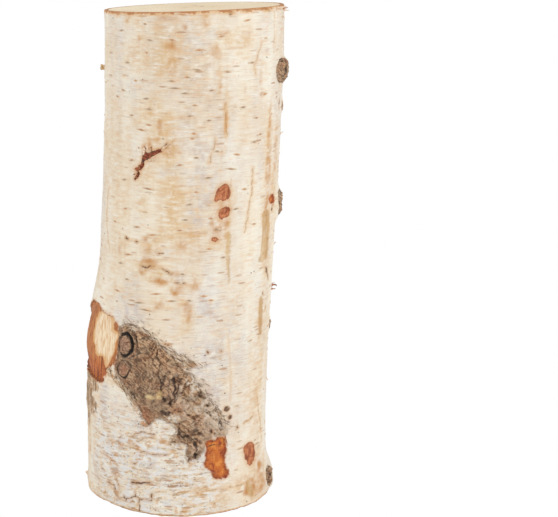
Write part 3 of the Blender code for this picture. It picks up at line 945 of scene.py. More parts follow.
    rust = over(between(blotches, 0.38, 0.60), paint(154, 76, 38), paint(208, 132, 84))
    rust = laid(between(lengthwise, 0.44, 0.36), rust, 116, 52, 30, 0.75)
    rust = laid(between(scribble, 0.56, 0.66), rust, 224, 164, 120, 0.55)
    rust_depth = value("rust_gap") + wander
    # The dark rim round each rust place is partly its torn edge and partly painted shade where it sinks below
    # the paper
    rust = laid(between(rust_depth, -1.1, 0.0), rust, 138, 66, 36, 0.75)
    colour = over(inside(finish, "rust", wander), colour, rust)
    colour = laid(between(crack, 0.22, -0.15) * broken, colour, 96, 62, 42, 0.95)

    split_depth = value("split_gap") + wander * 0.9
    flesh = over(between(scribble, 0.42, 0.56), paint(196, 108, 66), paint(120, 54, 30))
    flesh = laid(between(lengthwise, 0.46, 0.38), flesh, 84, 42, 28, 0.75)
    dark_edge = between(split_depth, -0.55, -0.10) * between(blotches, 0.62, 0.44)
    split = laid(dark_edge, flesh, 64, 34, 24)
    colour = over(between(split_depth, 0.20, -0.05), colour, split)

    # The frayed edge beside each saw cut shows the orange layer under the paper
    rim = value("rim_gap") + wander * 1.1
    rim = rim + between(flakes, 0.35, 0.65, -0.5, 0.7)
    colour = laid(between(rim, 2.2, 1.0), colour, 226, 184, 134, 0.8)
    colour = laid(between(rim, 1.2, 0.4), colour, 184, 120, 68, 0.9)

    roughness = between(clouds, 0.3, 0.7, 0.58, 0.74)
    height = fibres * 0.5 + layers * 0.7 + grain * 0.25 + wrinkled * bands * 2.0
    height = height - dash * 0.5 - thread * 0.8 - rough
    return finish.shows(colour, roughness, height, 0.00022)


def cut_bark():
    finish = Finish("inner_bark")
    corky = finish.noise(0.0012, 0.0012, 4.0, 0.7)
    coarse = finish.noise(0.0045, 0.0045, 3.0, 0.6, shift=9.0)
    colour = finish.over(finish.between(corky, 0.35, 0.68), paint(150, 92, 52), paint(212, 158, 106))
    colour = finish.laid(finish.between(coarse, 0.52, 0.68), colour, 226, 188, 142)
    return finish.shows(colour, finish.between(corky, 0.3, 0.7, 0.70, 0.88), corky, 0.0003)


bark = add_piece("bark", bark_mesh())
bark.data.materials.append(paper_bark())
bark.data.materials.append(cut_bark())
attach(bark, "root")
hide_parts("log")


# The wood
# The pale stem inside the bark, which shows at both saw cuts. The faces carry growth rings, fine rays, a
# few drying checks that run out from the pith, and the shallow marks of the saw.
PITH = (0.004, 0.003)  # how far the pith lies from the centre line
CHECKS = ((35, 0.05, 0.62), (128, 0.30, 0.96), (205, 0.02, 0.45), (281, 0.40, 0.99), (330, 0.15, 0.50))
CHECK_WIDTH = 0.00045
CHECK_DEPTH = 0.0016
SIDE_SINK = 0.0012
SAW_PITCH = 0.0031
FINE_SAW_PITCH = 0.0009
SAW_MIDDLE = (0.16, 0.10)  # how far the middle of the saw's arcs lies to the left and the back
RING_PITCH = 0.0024


def face_rings(height, angles, shares, direction):
    """One sawn face: rings of points from its edge to its middle, with saw marks and checks cut into it."""
    angle, share = np.meshgrid(angles, shares)
    edge = trunk_radius(angle, np.full(angle.shape, height)) - BARK_THICKNESS + 0.0001
    radius = edge * share
    points = at_radius(angle, np.full(angle.shape, height), radius)
    middle_x, middle_y = centre_line(height)
    x = points[..., 0] - middle_x
    y = points[..., 1] - middle_y
    sweep = np.hypot(x + SAW_MIDDLE[0], y - SAW_MIDDLE[1])
    marks = 0.00005 * np.sin(2.0 * math.pi * sweep / SAW_PITCH + 1.5 * smooth_noise(x, y, 0.02, 0.02, 81))
    marks = marks + 0.00004 * smooth_noise(x * 4.0, y * 4.0, 0.01, 0.01, 82)
    gap = np.full(x.shape, 1.0)
    for degrees, start, end in CHECKS:
        heading = math.radians(degrees) * direction
        dx = x - PITH[0]
        dy = y - PITH[1]
        along = dx * math.sin(heading) - dy * math.cos(heading)
        bend = 0.0008 * np.sin(along * 260.0 + degrees)
        aside = dx * math.cos(heading) + dy * math.sin(heading) + bend
        outside = np.maximum(start * TRUNK_RADIUS - along, along - end * TRUNK_RADIUS)
        taper = CHECK_WIDTH * smoothstep(0.0, 0.008, -outside)
        gap = np.minimum(gap, np.abs(aside) - taper + np.maximum(outside, 0.0))
    fade = smoothstep(1.0, 0.97, share)
    depth = CHECK_DEPTH * smoothstep(0.00025, -0.00035, gap) * fade
    points[..., 2] += direction * (marks * fade - depth - 0.0004 * smoothstep(0.985, 1.0, share))
    return points.reshape(-1, 3), gap.ravel()


def wood_mesh():
    columns = 320
    angles = np.linspace(0.0, 2.0 * math.pi, columns, endpoint=False)
    shares = np.concatenate([np.linspace(1.0, 0.03, 62), [0.012]])
    levels = np.linspace(0.0, CUT_HEIGHT, 14)
    ring_count = len(shares)

    below, below_gap = face_rings(0.0, angles, shares, -1.0)
    below[:, 2] += 0.00012
    above, above_gap = face_rings(CUT_HEIGHT, angles, shares, 1.0)
    side_angle, side_height = np.meshgrid(angles, levels[1:-1])
    side_radius = trunk_radius(side_angle, side_height) - BARK_THICKNESS - SIDE_SINK
    sides = at_radius(side_angle, side_height, side_radius).reshape(-1, 3)
    middles = [face[-columns:].mean(axis=0) for face in (below, above)]
    points = np.concatenate([below, sides, above, middles])

    column = np.arange(columns)
    beside = (column + 1) % columns
    first_side = ring_count * columns
    first_above = first_side + sides.shape[0]
    rings = [first_side + level * columns for level in range(len(levels) - 2)]
    walls = [0, *rings, first_above]
    faces = []
    for low, high in zip(walls, walls[1:]):
        faces.append(np.stack([low + column, low + beside, high + beside, high + column], axis=-1))
    for ring in range(ring_count - 1):
        low = ring * columns
        lower = low + columns
        faces.append(np.stack([low + beside, low + column, lower + column, lower + beside], axis=-1))
        high = first_above + ring * columns
        upper = high + columns
        faces.append(np.stack([high + column, high + beside, upper + beside, upper + column], axis=-1))
    quads = np.concatenate(faces).tolist()
    last_below = (ring_count - 1) * columns
    last_above = first_above + last_below
    pole_below = len(points) - 2
    pole_above = len(points) - 1
    caps = [(last_below + b, last_below + c, pole_below) for c, b in zip(column, beside)]
    caps += [(last_above + c, last_above + b, pole_above) for c, b in zip(column, beside)]
    mesh = new_mesh("wood", points, quads + [tuple(int(index) for index in cap) for cap in caps])
    mesh.set_sharp_from_angle(angle=math.radians(50))

    gaps = np.full(len(points), 50.0)
    gaps[:first_side] = below_gap / MM
    gaps[first_above:first_above + first_side] = above_gap / MM
    store(mesh, "check_gap", gaps)

    # The map: the two faces as discs side by side, and the hidden side as a strip
    flat = points[corner_points(mesh)]
    low_corner, high_corner = (np.array(corner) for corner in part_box("log"))
    size = float(max(high_corner[:2] - low_corner[:2]))
    across = (flat[:, :2] - low_corner[:2]) / size
    places = np.empty((len(flat), 2))
    on_below = flat[:, 2] < 0.004
    on_above = flat[:, 2] > CUT_HEIGHT - 0.008
    places[:, 0] = across[:, 0] * 0.48 + np.where(on_above, 0.51, 0.01)
    places[:, 1] = across[:, 1] * 0.48 + 0.51
    side = ~(on_below | on_above)
    places[side] = across[side] * 0.45 + 0.02
    store_map(mesh, places)
    return mesh


def cut_wood():
    finish = Finish("cut_wood")
    between = finish.between
    laid = finish.laid
    noise = finish.noise
    x, y, z = (finish.wire(axis, "ShaderNodeSeparateXYZ", {"Vector": finish.place}) for axis in "XYZ")

    def length(first, second):
        return finish.sums("SQRT", first * first + second * second)

    # Growth rings round the pith, dark at their outer edge
    lean = between(z, 0.0, CUT_HEIGHT)
    from_x = x - (lean * CENTRE_LEAN + (CENTRE_AT_BASE + PITH[0]))
    from_y = y - PITH[1]
    wobble = noise(0.030, 0.5, 2.0, 0.5)
    distance = length(from_x, from_y) + (wobble - 0.5) * 0.010
    distance = distance + (noise(0.0008, 0.01, 2.0, 0.5) - 0.5) * 0.0006
    late = between(finish.sums("FRACT", distance / RING_PITCH), 0.62, 0.97)
    colour = finish.over(between(wobble, 0.3, 0.7), paint(243, 229, 200), paint(237, 219, 187))
    colour = laid(late, colour, 206, 170, 124, 0.26)
    colour = laid(between(distance, 0.030, 0.006), colour, 214, 172, 126, 0.22)

    # Rays run out from the pith, and the saw's arcs cross them
    turn = finish.sums("ARCTAN2", from_y, from_x)
    ray_place = finish.wire("Vector", "ShaderNodeCombineXYZ", {"X": turn * 42.0, "Y": distance * 90.0})
    rays = finish.noise_at(ray_place, 3.0, 0.7)
    colour = laid(between(rays, 0.56, 0.72), colour, 206, 172, 130, 0.20)
    arc = length(x + SAW_MIDDLE[0], y - SAW_MIDDLE[1])
    kerf = finish.sums("SINE", arc * (2.0 * math.pi / FINE_SAW_PITCH))
    colour = laid(between(kerf, 0.2, 1.0), colour, 190, 156, 118, 0.10)
    grain = noise(0.0005, 0.0005, 2.0, 0.6, shift=6.0)
    colour = laid(between(grain, 0.55, 0.75), colour, 186, 148, 106, 0.18)
    colour = laid(between(distance, 0.0022, 0.0010), colour, 150, 104, 66, 0.7)
    # Painted shade inside the drying checks
    colour = laid(between(finish.value("check_gap"), 0.30, -0.10), colour, 104, 70, 44)
    height = kerf * 0.4 + grain * 0.5 - late * 0.3
    return finish.shows(colour, between(rays, 0.3, 0.7, 0.66, 0.80), height, 0.00010)


wood = add_piece("wood", wood_mesh())
wood.data.materials.append(cut_wood())
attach(wood, "root")
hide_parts("log")


# The branch scar
# A lost branch has left two grown-over stubs, each in a dark ring, a wrinkled grey-brown collar that the
# growing trunk dragged down to the right, a folded eye in it, and a crumbling tail of bark fibres.
SCAR_STEP = 0.00042
SCAR_THICKNESS = 0.0034
SCAR_MARGIN = 0.0018
EDGE_DROP = 0.0030
STUBS = ((-30.4, 105.8, 4.3, 5.5, 14.0), (-29.4, 91.2, 3.9, 5.4, -8.0))  # degrees, mm, half sizes in mm, tilt
FOLD = (-3.4, 80.0, 4.6, 9.6, 12.0)
# Deep creases, each a width in millimetres and the points that it runs through
CREASES = (
    (0.5, (-14.5, 107), (-10.8, 99), (-9, 93.5), (-9, 88.5), (-7.8, 84)),
    (1.3, (-6.6, 87.5), (-7.8, 82), (-7, 77.5), (-5.2, 73.5)),
    (1.2, (-1, 86.5), (-0.4, 80.5), (-1, 75.5), (-2.8, 71.5)),
    (0.5, (1.4, 83), (1.6, 78), (-0.4, 73)),
    (0.2, (-3.8, 86), (-4.2, 80), (-3.2, 75)),
    (1.2, (12.4, 45), (13, 40), (12.8, 36)),
    (1.4, (-31.5, 81.5), (-28.5, 78.2), (-25.5, 74.5), (-24, 72)),
    (0.5, (-4, 58.2), (-1, 55.6), (0.8, 53.6), (3.4, 52.2), (5, 49.8), (8, 50.6), (10.5, 47.6)),
    (2.8, (-7.2, 65.8), (-4.6, 65.4)),
)


def ridge(value, width):
    return np.exp(-((value / width) ** 2))


def scar_relief(across, upward):
    """Rise in millimetres, and shares of the colours over the scar, among them painted shade in its hollows.
    """
    x = across / MM
    y = upward / MM
    wander = layered_noise(across, upward, 0.006, 0.006, 91)
    first = oval_reach(x, y, STUBS[0]) + 0.14 * wander
    second = oval_reach(x, y, STUBS[1]) + 0.12 * wander
    fold = oval_reach(x, y, FOLD) + 0.10 * wander
    crease = route_distance(across, upward, CREASES, 93) / MM

    upper_side = smoothstep(-3.0, 4.0, (x + 25.7) * 0.7 + (y - 105.4) * 0.7)
    ring_one = ridge(first - 1.08, 0.20 + 0.08 * upper_side) * (0.90 + 0.20 * upper_side)
    ring_two = ridge(second - 1.0, 0.17) * (0.80 + 0.35 * smoothstep(1.0, -3.0, y - 91.0))
    crescent = ridge(first - 1.62, 0.08) * upper_side
    in_crease = smoothstep(0.50, -0.25, crease)

    # Wrinkles run round both stubs and spread over the collar
    stub_line = np.minimum(first * 4.9, second * 4.7)
    wave = np.sin(2.0 * math.pi * stub_line / 2.3 + 6.5 * wander)
    on_collar = smoothstep(6.4, 8.5, stub_line) * smoothstep(32.0, 17.0, stub_line)
    wrinkle = wave * on_collar

    # Fibres follow the collar, down to the right
    lengthwise = (across * 0.66 - upward * 0.75)
    crosswise = (across * 0.75 + upward * 0.66)
    fibre = layered_noise(lengthwise, crosswise, 0.0085, 0.0014, 95)
    banded = ridge(fold - 0.55, 0.16) + 0.8 * ridge(fold - 0.95, 0.14)
    along_scar = x * 0.75 + y * 0.66
    upper_edge = smoothstep(-7.0, 7.0, along_scar - 54.0 + 4.0 * wander)
    in_tail = smoothstep(-8.0, 4.0, x + 0.2 * (70.0 - y))
    fibrous = np.clip(0.35 + 0.8 * upper_edge + 0.6 * in_tail, 0.0, 1.2)
    crumbs = layered_noise(across, upward, 0.0024, 0.0021, 99)
    fine = layered_noise(across, upward, 0.0010, 0.0010, 103, layers=2)
    plates = layered_noise(across, upward, 0.0055, 0.0050, 105)

    beyond = smoothstep(20.0, 27.0, stub_line)
    rise = 0.34 * wrinkle + 0.60 * fibre * fibrous + 0.50 * crumbs * (0.35 + in_tail + 0.6 * beyond)
    rise = rise + 0.18 * fine + 0.45 * plates
    rise = rise + 1.0 * ridge(first - 1.42, 0.15) + 0.7 * ridge(second - 1.30, 0.13)
    rise = rise + 0.9 * ridge(fold - 1.25, 0.16)
    plug = smoothstep(0.88, 0.6, first)
    rise = rise + plug * (0.1 + 1.1 * crumbs + 0.5 * fine) - (1.1 + 1.9 * upper_side) * ring_one
    rise = rise - 0.8 * ring_two - 1.3 * crescent
    rise = rise - 0.9 * in_crease
    cracks = ridge(fibre, 0.10) * fibrous
    rise = rise - 0.55 * cracks

    eye = np.exp(-(np.hypot((x + 7.0) / 2.6, (y - 55.0) / 2.2) ** 2))
    dark_tail = np.exp(-(np.hypot((x - 9.0) / 6.8, (y - 50.5) / 6.0) ** 3)) + eye
    dark_tail = dark_tail * smoothstep(-0.65, 0.35, crumbs + 0.6 * plates)
    below_edge = smoothstep(-45.0, -33.0, -x * 0.66 - y * 0.75 + 24.0) * (1.0 - in_tail)
    # Painted shade: the rings, creases, cracks, wrinkle troughs and dips between the crumbs are darkened in
    # colour, where shade falls
    hollow_shade_and_dark = 1.0 * ring_one + 0.85 * ring_two + 0.6 * crescent + 0.70 * in_crease
    hollow_shade_and_dark = hollow_shade_and_dark + 0.38 * cracks + 0.32 * smoothstep(0.1, 0.9, -wave) * on_collar
    hollow_shade_and_dark = hollow_shade_and_dark + 0.38 * smoothstep(0.25, 0.9, -crumbs) * (0.5 + 0.5 * in_tail + 0.5 * beyond)
    hollow_shade_and_dark = hollow_shade_and_dark + 0.15 * smoothstep(0.0, 0.9, -plates)
    hollow_shade_and_dark = hollow_shade_and_dark + 0.45 * banded * smoothstep(-0.4, 0.3, crumbs + fine)
    yellow = np.exp(-((np.hypot((x + 12.6) / 2.8, (y - 75.4) / 1.8) + 0.35 * plates) ** 4))
    yellow = np.maximum(yellow, np.exp(-((np.hypot((x + 8.0) / 2.4, (y - 77.2) / 2.6) + 0.35 * crumbs) ** 4)))
    flake = np.exp(-((np.hypot((x + 0.6) / 3.6, (y - 61.6) / 2.8) + 0.30 * crumbs) ** 6))
    pale_tail = in_tail * smoothstep(-0.30, 0.30, plates + 0.6 * crumbs + 0.9 * smoothstep(8.0, 20.0, x))
    red = 0.9 * np.exp(-(((x + 18.0) / 4.6) ** 2) - ((y - 61.5) / 6.0) ** 2)
    red = red + 0.9 * np.exp(-(((x + 35.6) / 1.6) ** 2) - ((y - 89.5) / 4.0) ** 2)
    red = red + 0.7 * np.exp(-(((x - 0.6) / 3.4) ** 2) - ((y - 67.4) / 2.8) ** 2)
    red = red + 0.8 * np.exp(-(((x + 26.8) / 2.0) ** 2) - ((y - 92.0) / 2.8) ** 2)
    warm = 0.45 + 0.55 * upper_edge + 0.5 * in_tail + 0.8 * wander + 0.5 * plates - 0.25 * on_collar
    light_tail = 0.9 * pale_tail * (1.0 - np.minimum(dark_tail, 1.0)) * (0.35 + 0.65 * upper_edge)
    # The wrinkle wave, kept for a painted highlight on its crests and painted shade in its troughs
    crinkle = wrinkle * (1.0 - in_crease) * smoothstep(-0.5, 0.7, plates + 0.6 * crumbs)
    colours = {
        # The dark tail is the scar's own dark bark, added to the painted shade of the hollows
        "hollow_shade_and_dark": np.clip((hollow_shade_and_dark + 0.78 * dark_tail) * (1.0 - yellow) * (1.0 - flake), 0.0, 1.0),
        "warm": np.clip(warm, 0.0, 1.0),
        "plug": np.clip(plug + 0.9 * smoothstep(0.85, 0.35, second) + 0.25 * ridge(fold, 0.7), 0.0, 1.0),
        "black_and_deep_shade": np.clip(1.3 * ring_one + 0.55 * ring_two, 0.0, 1.0),
        "yellow": np.clip(yellow, 0.0, 1.0),
        "red": np.clip(red, 0.0, 1.0),
        "pale": np.clip(1.1 * flake + light_tail, 0.0, 1.0),
        "shade": np.clip(0.35 * below_edge * (1.0 - yellow) * (1.0 - flake), 0.0, 1.0),
        "crinkle": np.clip(crinkle, -1.0, 1.0),
    }
    return rise, colours


def sheet_mesh(name, angle, height, top_radius, bed_radius, kept, attributes):
    """A closed patch of bark: a top and a bed over the same grid, walled round the faces that are kept."""
    rows, columns = angle.shape
    top = at_radius(angle, height, top_radius).reshape(-1, 3)
    bed = at_radius(angle, height, bed_radius).reshape(-1, 3)
    corner = np.arange(rows * columns).reshape(rows, columns)
    quads = np.stack([corner[:-1, :-1], corner[:-1, 1:], corner[1:, 1:], corner[1:, :-1]], axis=-1)[kept]
    edges = {
        (int(face[side]), int(face[(side + 1) % 4])) for face in quads for side in range(4)
    }
    offset = rows * columns
    walls = [(b, a, a + offset, b + offset) for a, b in edges if (b, a) not in edges]
    faces = np.concatenate([quads, quads[:, ::-1] + offset, np.array(walls)])
    used = np.unique(faces)
    renumbered = np.full(2 * offset, -1)
    renumbered[used] = np.arange(len(used))
    points = np.concatenate([top, bed])[used]
    mesh = new_mesh(name, points, renumbered[faces])

    across_share = (angle - angle.min()) / (angle.max() - angle.min())
    upward_share = (height - height.min()) / (height.max() - height.min())
    flat = np.stack([across_share, upward_share], axis=-1).reshape(-1, 2)
    places = np.concatenate([flat * (0.96, 0.76) + (0.02, 0.22), flat * (0.18, 0.18) + 0.01])[used]
    store_map(mesh, places[corner_points(mesh)])
    for title, values in attributes.items():
        store(mesh, title, np.concatenate([values.ravel(), values.ravel()])[used])
    return mesh


def scar_mesh():
    angles = np.arange(math.radians(-48.0), math.radians(37.0), SCAR_STEP / TRUNK_RADIUS)
    heights = np.arange(0.0285, 0.1195, SCAR_STEP)
    angle, height = np.meshgrid(angles, heights)
    across = angle * TRUNK_RADIUS
    ragged = 0.0007 * layered_noise(across, height, 0.0018, 0.0018, 37)
    gap = nearest_outline(across, height, [SCAR], 0.0008, 36) + ragged
    rise, colours = scar_relief(across, height)
    edge_fade = smoothstep(0.0006, -0.0016, gap)
    radius = trunk_radius(angle, height)
    top = radius + rise * MM * edge_fade - EDGE_DROP * smoothstep(-0.0012, SCAR_MARGIN, gap)
    bed = np.minimum(radius - SCAR_THICKNESS - EDGE_DROP, top - 0.0005)
    cell = 0.25 * (gap[:-1, :-1] + gap[:-1, 1:] + gap[1:, :-1] + gap[1:, 1:])
    return sheet_mesh("branch_scar", angle, height, top, bed, cell < SCAR_MARGIN, colours)


def scar_bark():
    finish = Finish("scar_bark")
    between = finish.between
    laid = finish.laid
    noise = finish.noise
    over = finish.over
    value = finish.value
    rough = noise(0.0018, 0.0018, 4.0, 0.7)
    threads = noise(0.0052, 0.0007, 4.0, 0.65, 0.4, turn=math.radians(-40))
    dust = noise(0.0005, 0.0005, 2.0, 0.6, shift=8.0)
    broad = noise(0.0060, 0.0060, 3.0, 0.6, shift=5.0)
    crumbly = noise(0.0013, 0.0011, 3.0, 0.75, 0.8, shift=15.0)
    grey = over(between(rough, 0.36, 0.64), paint(124, 98, 78), paint(184, 152, 118))
    brown = over(between(threads, 0.36, 0.62), paint(150, 106, 72), paint(222, 182, 142))
    colour = over(value("warm"), grey, brown)
    colour = laid(between(broad, 0.46, 0.58), colour, 172, 114, 74, 0.62)
    # The crumbs and threads are darker where their bumps dip and paler where they rise: their own dark and
    # pale fibres, partly painted shade and highlight
    colour = laid(between(crumbly, 0.47, 0.36), colour, 80, 58, 45, 0.78)
    colour = laid(between(crumbly, 0.54, 0.63), colour, 228, 196, 160, 0.70)
    colour = laid(between(threads, 0.44, 0.36), colour, 86, 62, 48, 0.74)
    colour = laid(between(threads, 0.55, 0.63), colour, 228, 200, 166, 0.78)
    clumps = noise(0.0034, 0.0030, 3.0, 0.65, 0.6, shift=33.0)
    colour = laid(between(clumps, 0.54, 0.62), colour, 214, 174, 134, 0.60)
    colour = laid(between(clumps, 0.46, 0.38), colour, 82, 58, 42, 0.65)
    # Painted highlight on the crests of the collar's wrinkles and painted shade in their troughs
    colour = laid(between(value("crinkle"), 0.15, 0.80), colour, 204, 168, 132, 0.40)
    colour = laid(between(value("crinkle"), -0.15, -0.80), colour, 78, 58, 46, 0.48)
    pale = over(between(rough, 0.35, 0.65), paint(218, 186, 150), paint(242, 232, 218))
    flecked = between(crumbly, 0.36, 0.46, 0.45, 1.0)
    colour = over(value("pale") * flecked, colour, pale)
    yellow = over(between(rough, 0.35, 0.65), paint(214, 172, 112), paint(242, 222, 178))
    colour = over(value("yellow"), colour, yellow)
    plug = over(between(crumbly, 0.38, 0.60), paint(104, 68, 50), paint(212, 168, 138))
    colour = over(value("plug") * 0.85, colour, plug)
    red = over(between(crumbly, 0.40, 0.60), paint(112, 54, 32), paint(218, 140, 92))
    colour = over(value("red") * 0.72, colour, red)
    colour = laid(between(dust, 0.52, 0.72), colour, 88, 66, 52, 0.25)
    shade = value("shade") * between(rough, 0.3, 0.6, 0.25, 0.6)
    colour = laid(shade, colour, 120, 96, 78)
    # Painted shade in the hollows of the scar and the knots, together with the scar's own dark tail
    hollow_shade_and_dark = value("hollow_shade_and_dark") * between(rough, 0.2, 0.7, 1.2, 0.8)
    colour = laid(between(hollow_shade_and_dark, 0.20, 0.95), colour, 74, 54, 43)
    # Near black in the rings round the stubs and in the knots' pits: partly the dark ring that the scar has,
    # partly painted shade deep in these grooves and pits
    black_and_deep_shade = value("black_and_deep_shade") * between(crumbly, 0.30, 0.60, 1.15, 0.65)
    colour = laid(between(black_and_deep_shade, 0.35, 0.80), colour, 30, 24, 20)
    height = threads * 0.8 + dust * 0.5 + crumbly
    return finish.shows(colour, between(rough, 0.3, 0.7, 0.78, 0.92), height, 0.0005)


scar = add_piece("branch_scar", scar_mesh())
scar_finish = scar_bark()
scar.data.materials.append(scar_finish)
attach(scar, "root")
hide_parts("log")


# The knots
# Small overgrown knots: three in a line down the right side, and an old eye-shaped scar behind. Each is a
# boss of dark rough bark with a pit or a slit at its middle, and the white bark closes round it.
KNOT_STEP = 0.0005
KNOT_THICKNESS = 0.0050


def knot_mesh(name, oval, seed):
    degrees, middle, half_width, half_height, _ = oval
    reach_angle = (half_width * 1.5 * MM) / TRUNK_RADIUS
    reach_height = half_height * 1.5 * MM
    angles = np.arange(-reach_angle, reach_angle, KNOT_STEP / TRUNK_RADIUS) + math.radians(degrees)
    low = max(middle * MM - reach_height, 0.0012)
    heights = np.arange(low, middle * MM + reach_height, KNOT_STEP)
    angle, height = np.meshgrid(angles, heights)
    across = angle * TRUNK_RADIUS
    wander = layered_noise(across, height, 0.005, 0.005, 110 + seed)
    reach = oval_reach(across / MM, height / MM, oval) + 0.13 * wander
    crumbs = layered_noise(across, height, 0.0026, 0.0022, 120 + seed)
    fibre = layered_noise(across, height, 0.0016, 0.0090, 130 + seed)
    wave = np.sin(2.0 * math.pi * reach * min(half_width, half_height) / 2.1 + 1.8 * wander)
    aside = degrees + 0.35 * math.degrees(half_width * MM / TRUNK_RADIUS)
    off_middle = (aside, middle, half_width, half_height, 0.0)
    pit = ridge(oval_reach(across / MM, height / MM, off_middle) + 0.13 * wander, 0.26)
    rise = 0.6 * crumbs + 0.45 * fibre + 0.32 * wave * smoothstep(0.25, 0.5, reach) - 1.6 * pit
    edge_fade = smoothstep(1.10, 0.80, reach)
    radius = trunk_radius(angle, height)
    top = radius + rise * MM * edge_fade - 0.0026 * smoothstep(0.86, 1.22, reach)
    kept = (0.25 * (reach[:-1, :-1] + reach[:-1, 1:] + reach[1:, :-1] + reach[1:, 1:])) < 1.2
    # Painted shade in the troughs of the knot's rings and between its crumbs
    darker = 0.5 * smoothstep(0.2, 0.9, -wave) + 0.45 * smoothstep(0.1, 0.8, -crumbs)
    attributes = {
        "hollow_shade_and_dark": np.clip(0.9 * pit + darker, 0.0, 1.0),
        "warm": np.clip(0.50 + 0.6 * wander, 0.0, 1.0),
        "plug": np.zeros(reach.shape),
        # Painted shade, near black, deep in the knot's pit
        "black_and_deep_shade": 0.8 * pit**2,
        "yellow": np.zeros(reach.shape),
        "red": np.zeros(reach.shape),
        "pale": 0.6 * smoothstep(0.55, 1.05, reach) * smoothstep(-0.2, 0.5, crumbs),
        "shade": np.full(reach.shape, 0.1),
        "crinkle": 0.5 * wave,
    }
    bed = np.minimum(radius - KNOT_THICKNESS, top - 0.0005)
    return sheet_mesh(name, angle, height, top, bed, kept, attributes)


for name, (*oval, seed) in KNOTS.items():
    knot = add_piece(name, knot_mesh(name, tuple(oval), seed))
    knot.data.materials.append(scar_finish)
    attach(knot, "root")
    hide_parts("log")


# The lenticels
# The breathing pores of birch bark, thin level slots with corky lips. The clearest ones sit where the
# real log has them and the rest are scattered; each is a flat grain of cork let into the paper, darker
# along its middle.
CLEAR_LENTICELS = (
    (-4, 297, 8), (-27, 292, 3), (-24, 283, 5), (-10, 283, 6), (-26, 276, 3), (6, 277, 7), (20, 284, 5),
    (5, 266, 7), (-1, 262, 5), (-10, 260, 6), (-8, 256, 9), (14, 254, 5), (-2, 253, 6), (4, 246, 4),
    (-26, 250, 5), (-24, 244, 6), (1, 240, 5), (13, 237, 4), (-24, 235, 5), (-29, 232, 7), (4, 230, 4),
    (3, 227, 4), (6, 216, 4), (33, 216, 5), (29, 208, 7), (14, 204, 6), (19, 219, 4), (-4, 212, 5),
    (51, 226, 5), (36, 243, 5), (54, 249, 6), (42, 268, 5), (38, 292, 5), (-34, 260, 3), (-45, 254, 4),
    (-51, 250, 4), (47, 236, 4), (46, 222, 5), (-41, 270, 5), (-47, 288, 5), (-37, 240, 4), (-36, 214, 5),
    (24, 264, 5), (-42, 202, 5), (-23, 198, 8), (7, 196, 4), (-40, 185, 4), (-50, 176, 4), (-30, 175, 5),
    (-19, 171, 7), (-36, 158, 7), (-42, 152, 5), (17, 162, 5), (1, 180, 5), (3, 189, 5), (17, 180, 4),
    (21.5, 173, 4), (-2, 174, 5), (50, 173, 4), (27, 156, 4), (1, 148, 4), (-2, 143, 6), (-36, 143, 4),
    (-44, 135, 6), (-15, 136, 7), (-26, 130, 8), (-21, 126, 10), (-5, 132, 7), (15, 134, 5), (20, 131, 4),
    (6, 132, 4), (40, 195, 4), (34, 184, 5),
)
SCATTERED_LENTICELS = 190
LENTICEL_HEIGHT = 0.00135
LENTICEL_DEPTH = 0.0005


def lenticel_spots():
    """Angle, height, length and strength of every lenticel. The scattered ones keep off the marks."""
    random = np.random.default_rng(7)
    spots = []
    for degrees, height, length in CLEAR_LENTICELS:
        spots.append((math.radians(degrees), height * MM, 1.15 * length * MM, 1.0))
    while len(spots) < len(CLEAR_LENTICELS) + SCATTERED_LENTICELS:
        angle = random.uniform(-math.pi, math.pi)
        height = random.uniform(0.010, CUT_HEIGHT - 0.006)
        length = random.uniform(0.0025, 0.0075)
        in_front = abs(angle) < math.radians(60)
        if in_front and random.uniform() < 0.72:
            continue
        across = np.array([angle * TRUNK_RADIUS])
        marks = bark_marks(across, np.array([height]))
        if min(float(distance[0]) for distance in marks.values()) < 0.003:
            continue
        near_height = [other for other in spots if abs(height - other[1]) < 0.004]
        if any(abs(turn_between(angle, other[0])) < 0.14 for other in near_height):
            continue
        spots.append((angle, height, length, random.uniform(0.35, 0.9)))
    return spots


def spot_mesh(spots):
    """One point for each spot, on the bark's surface, with its size, its turn and its strength."""
    angle = np.array([spot[0] for spot in spots])
    height = np.array([spot[1] for spot in spots])
    across = turn_between(angle, 0.0) * TRUNK_RADIUS
    radius = trunk_radius(angle, height) + bark_relief(across, height, bark_marks(across, height))
    mesh = bpy.data.meshes.new("lenticel_spots")
    mesh.from_pydata(at_radius(angle, height, radius).tolist(), [], [])
    store(mesh, "strength", [spot[3] for spot in spots])
    store_vectors(mesh, "facing", [(0.0, 0.0, float(turn)) for turn in angle])
    store_vectors(mesh, "size", [(spot[2], 1.0, 1.0) for spot in spots])
    return mesh


def write_shape(draft, mesh):
    """Put the drafted shape into the mesh, smooth and with its faces turned outwards."""
    bmesh.ops.recalc_face_normals(draft, faces=draft.faces)
    draft.to_mesh(mesh)
    draft.free()
    mesh.shade_smooth()
    return mesh


def tube_faces(rings, sides):
    """The faces between rings of points that all have this many sides."""
    faces = []
    for ring in range(rings - 1):
        low = ring * sides
        for side in range(sides):
            beside = (side + 1) % sides
            faces.append((low + side, low + beside, low + sides + beside, low + sides + side))
    return faces


def grain_mesh():
    """A low lens, 1 long, that lies along X and bulges towards -Y; its ends sink into the bark."""
    draft = bmesh.new()
    bmesh.ops.create_uvsphere(draft, u_segments=12, v_segments=6, radius=0.5)
    for vert in draft.verts:
        x, y, z = vert.co
        blunter = math.sqrt(1.0 + 4.0 * z * z)
        vert.co = (z, y * blunter, x * blunter)
    draft.normal_update()
    mesh = write_shape(draft, bpy.data.meshes.new("lenticel_grain"))
    store(mesh, "along", [2.0 * abs(vert.co.x) for vert in mesh.vertices])
    store(mesh, "aside", [2.0 * abs(vert.co.z) for vert in mesh.vertices])
    return mesh


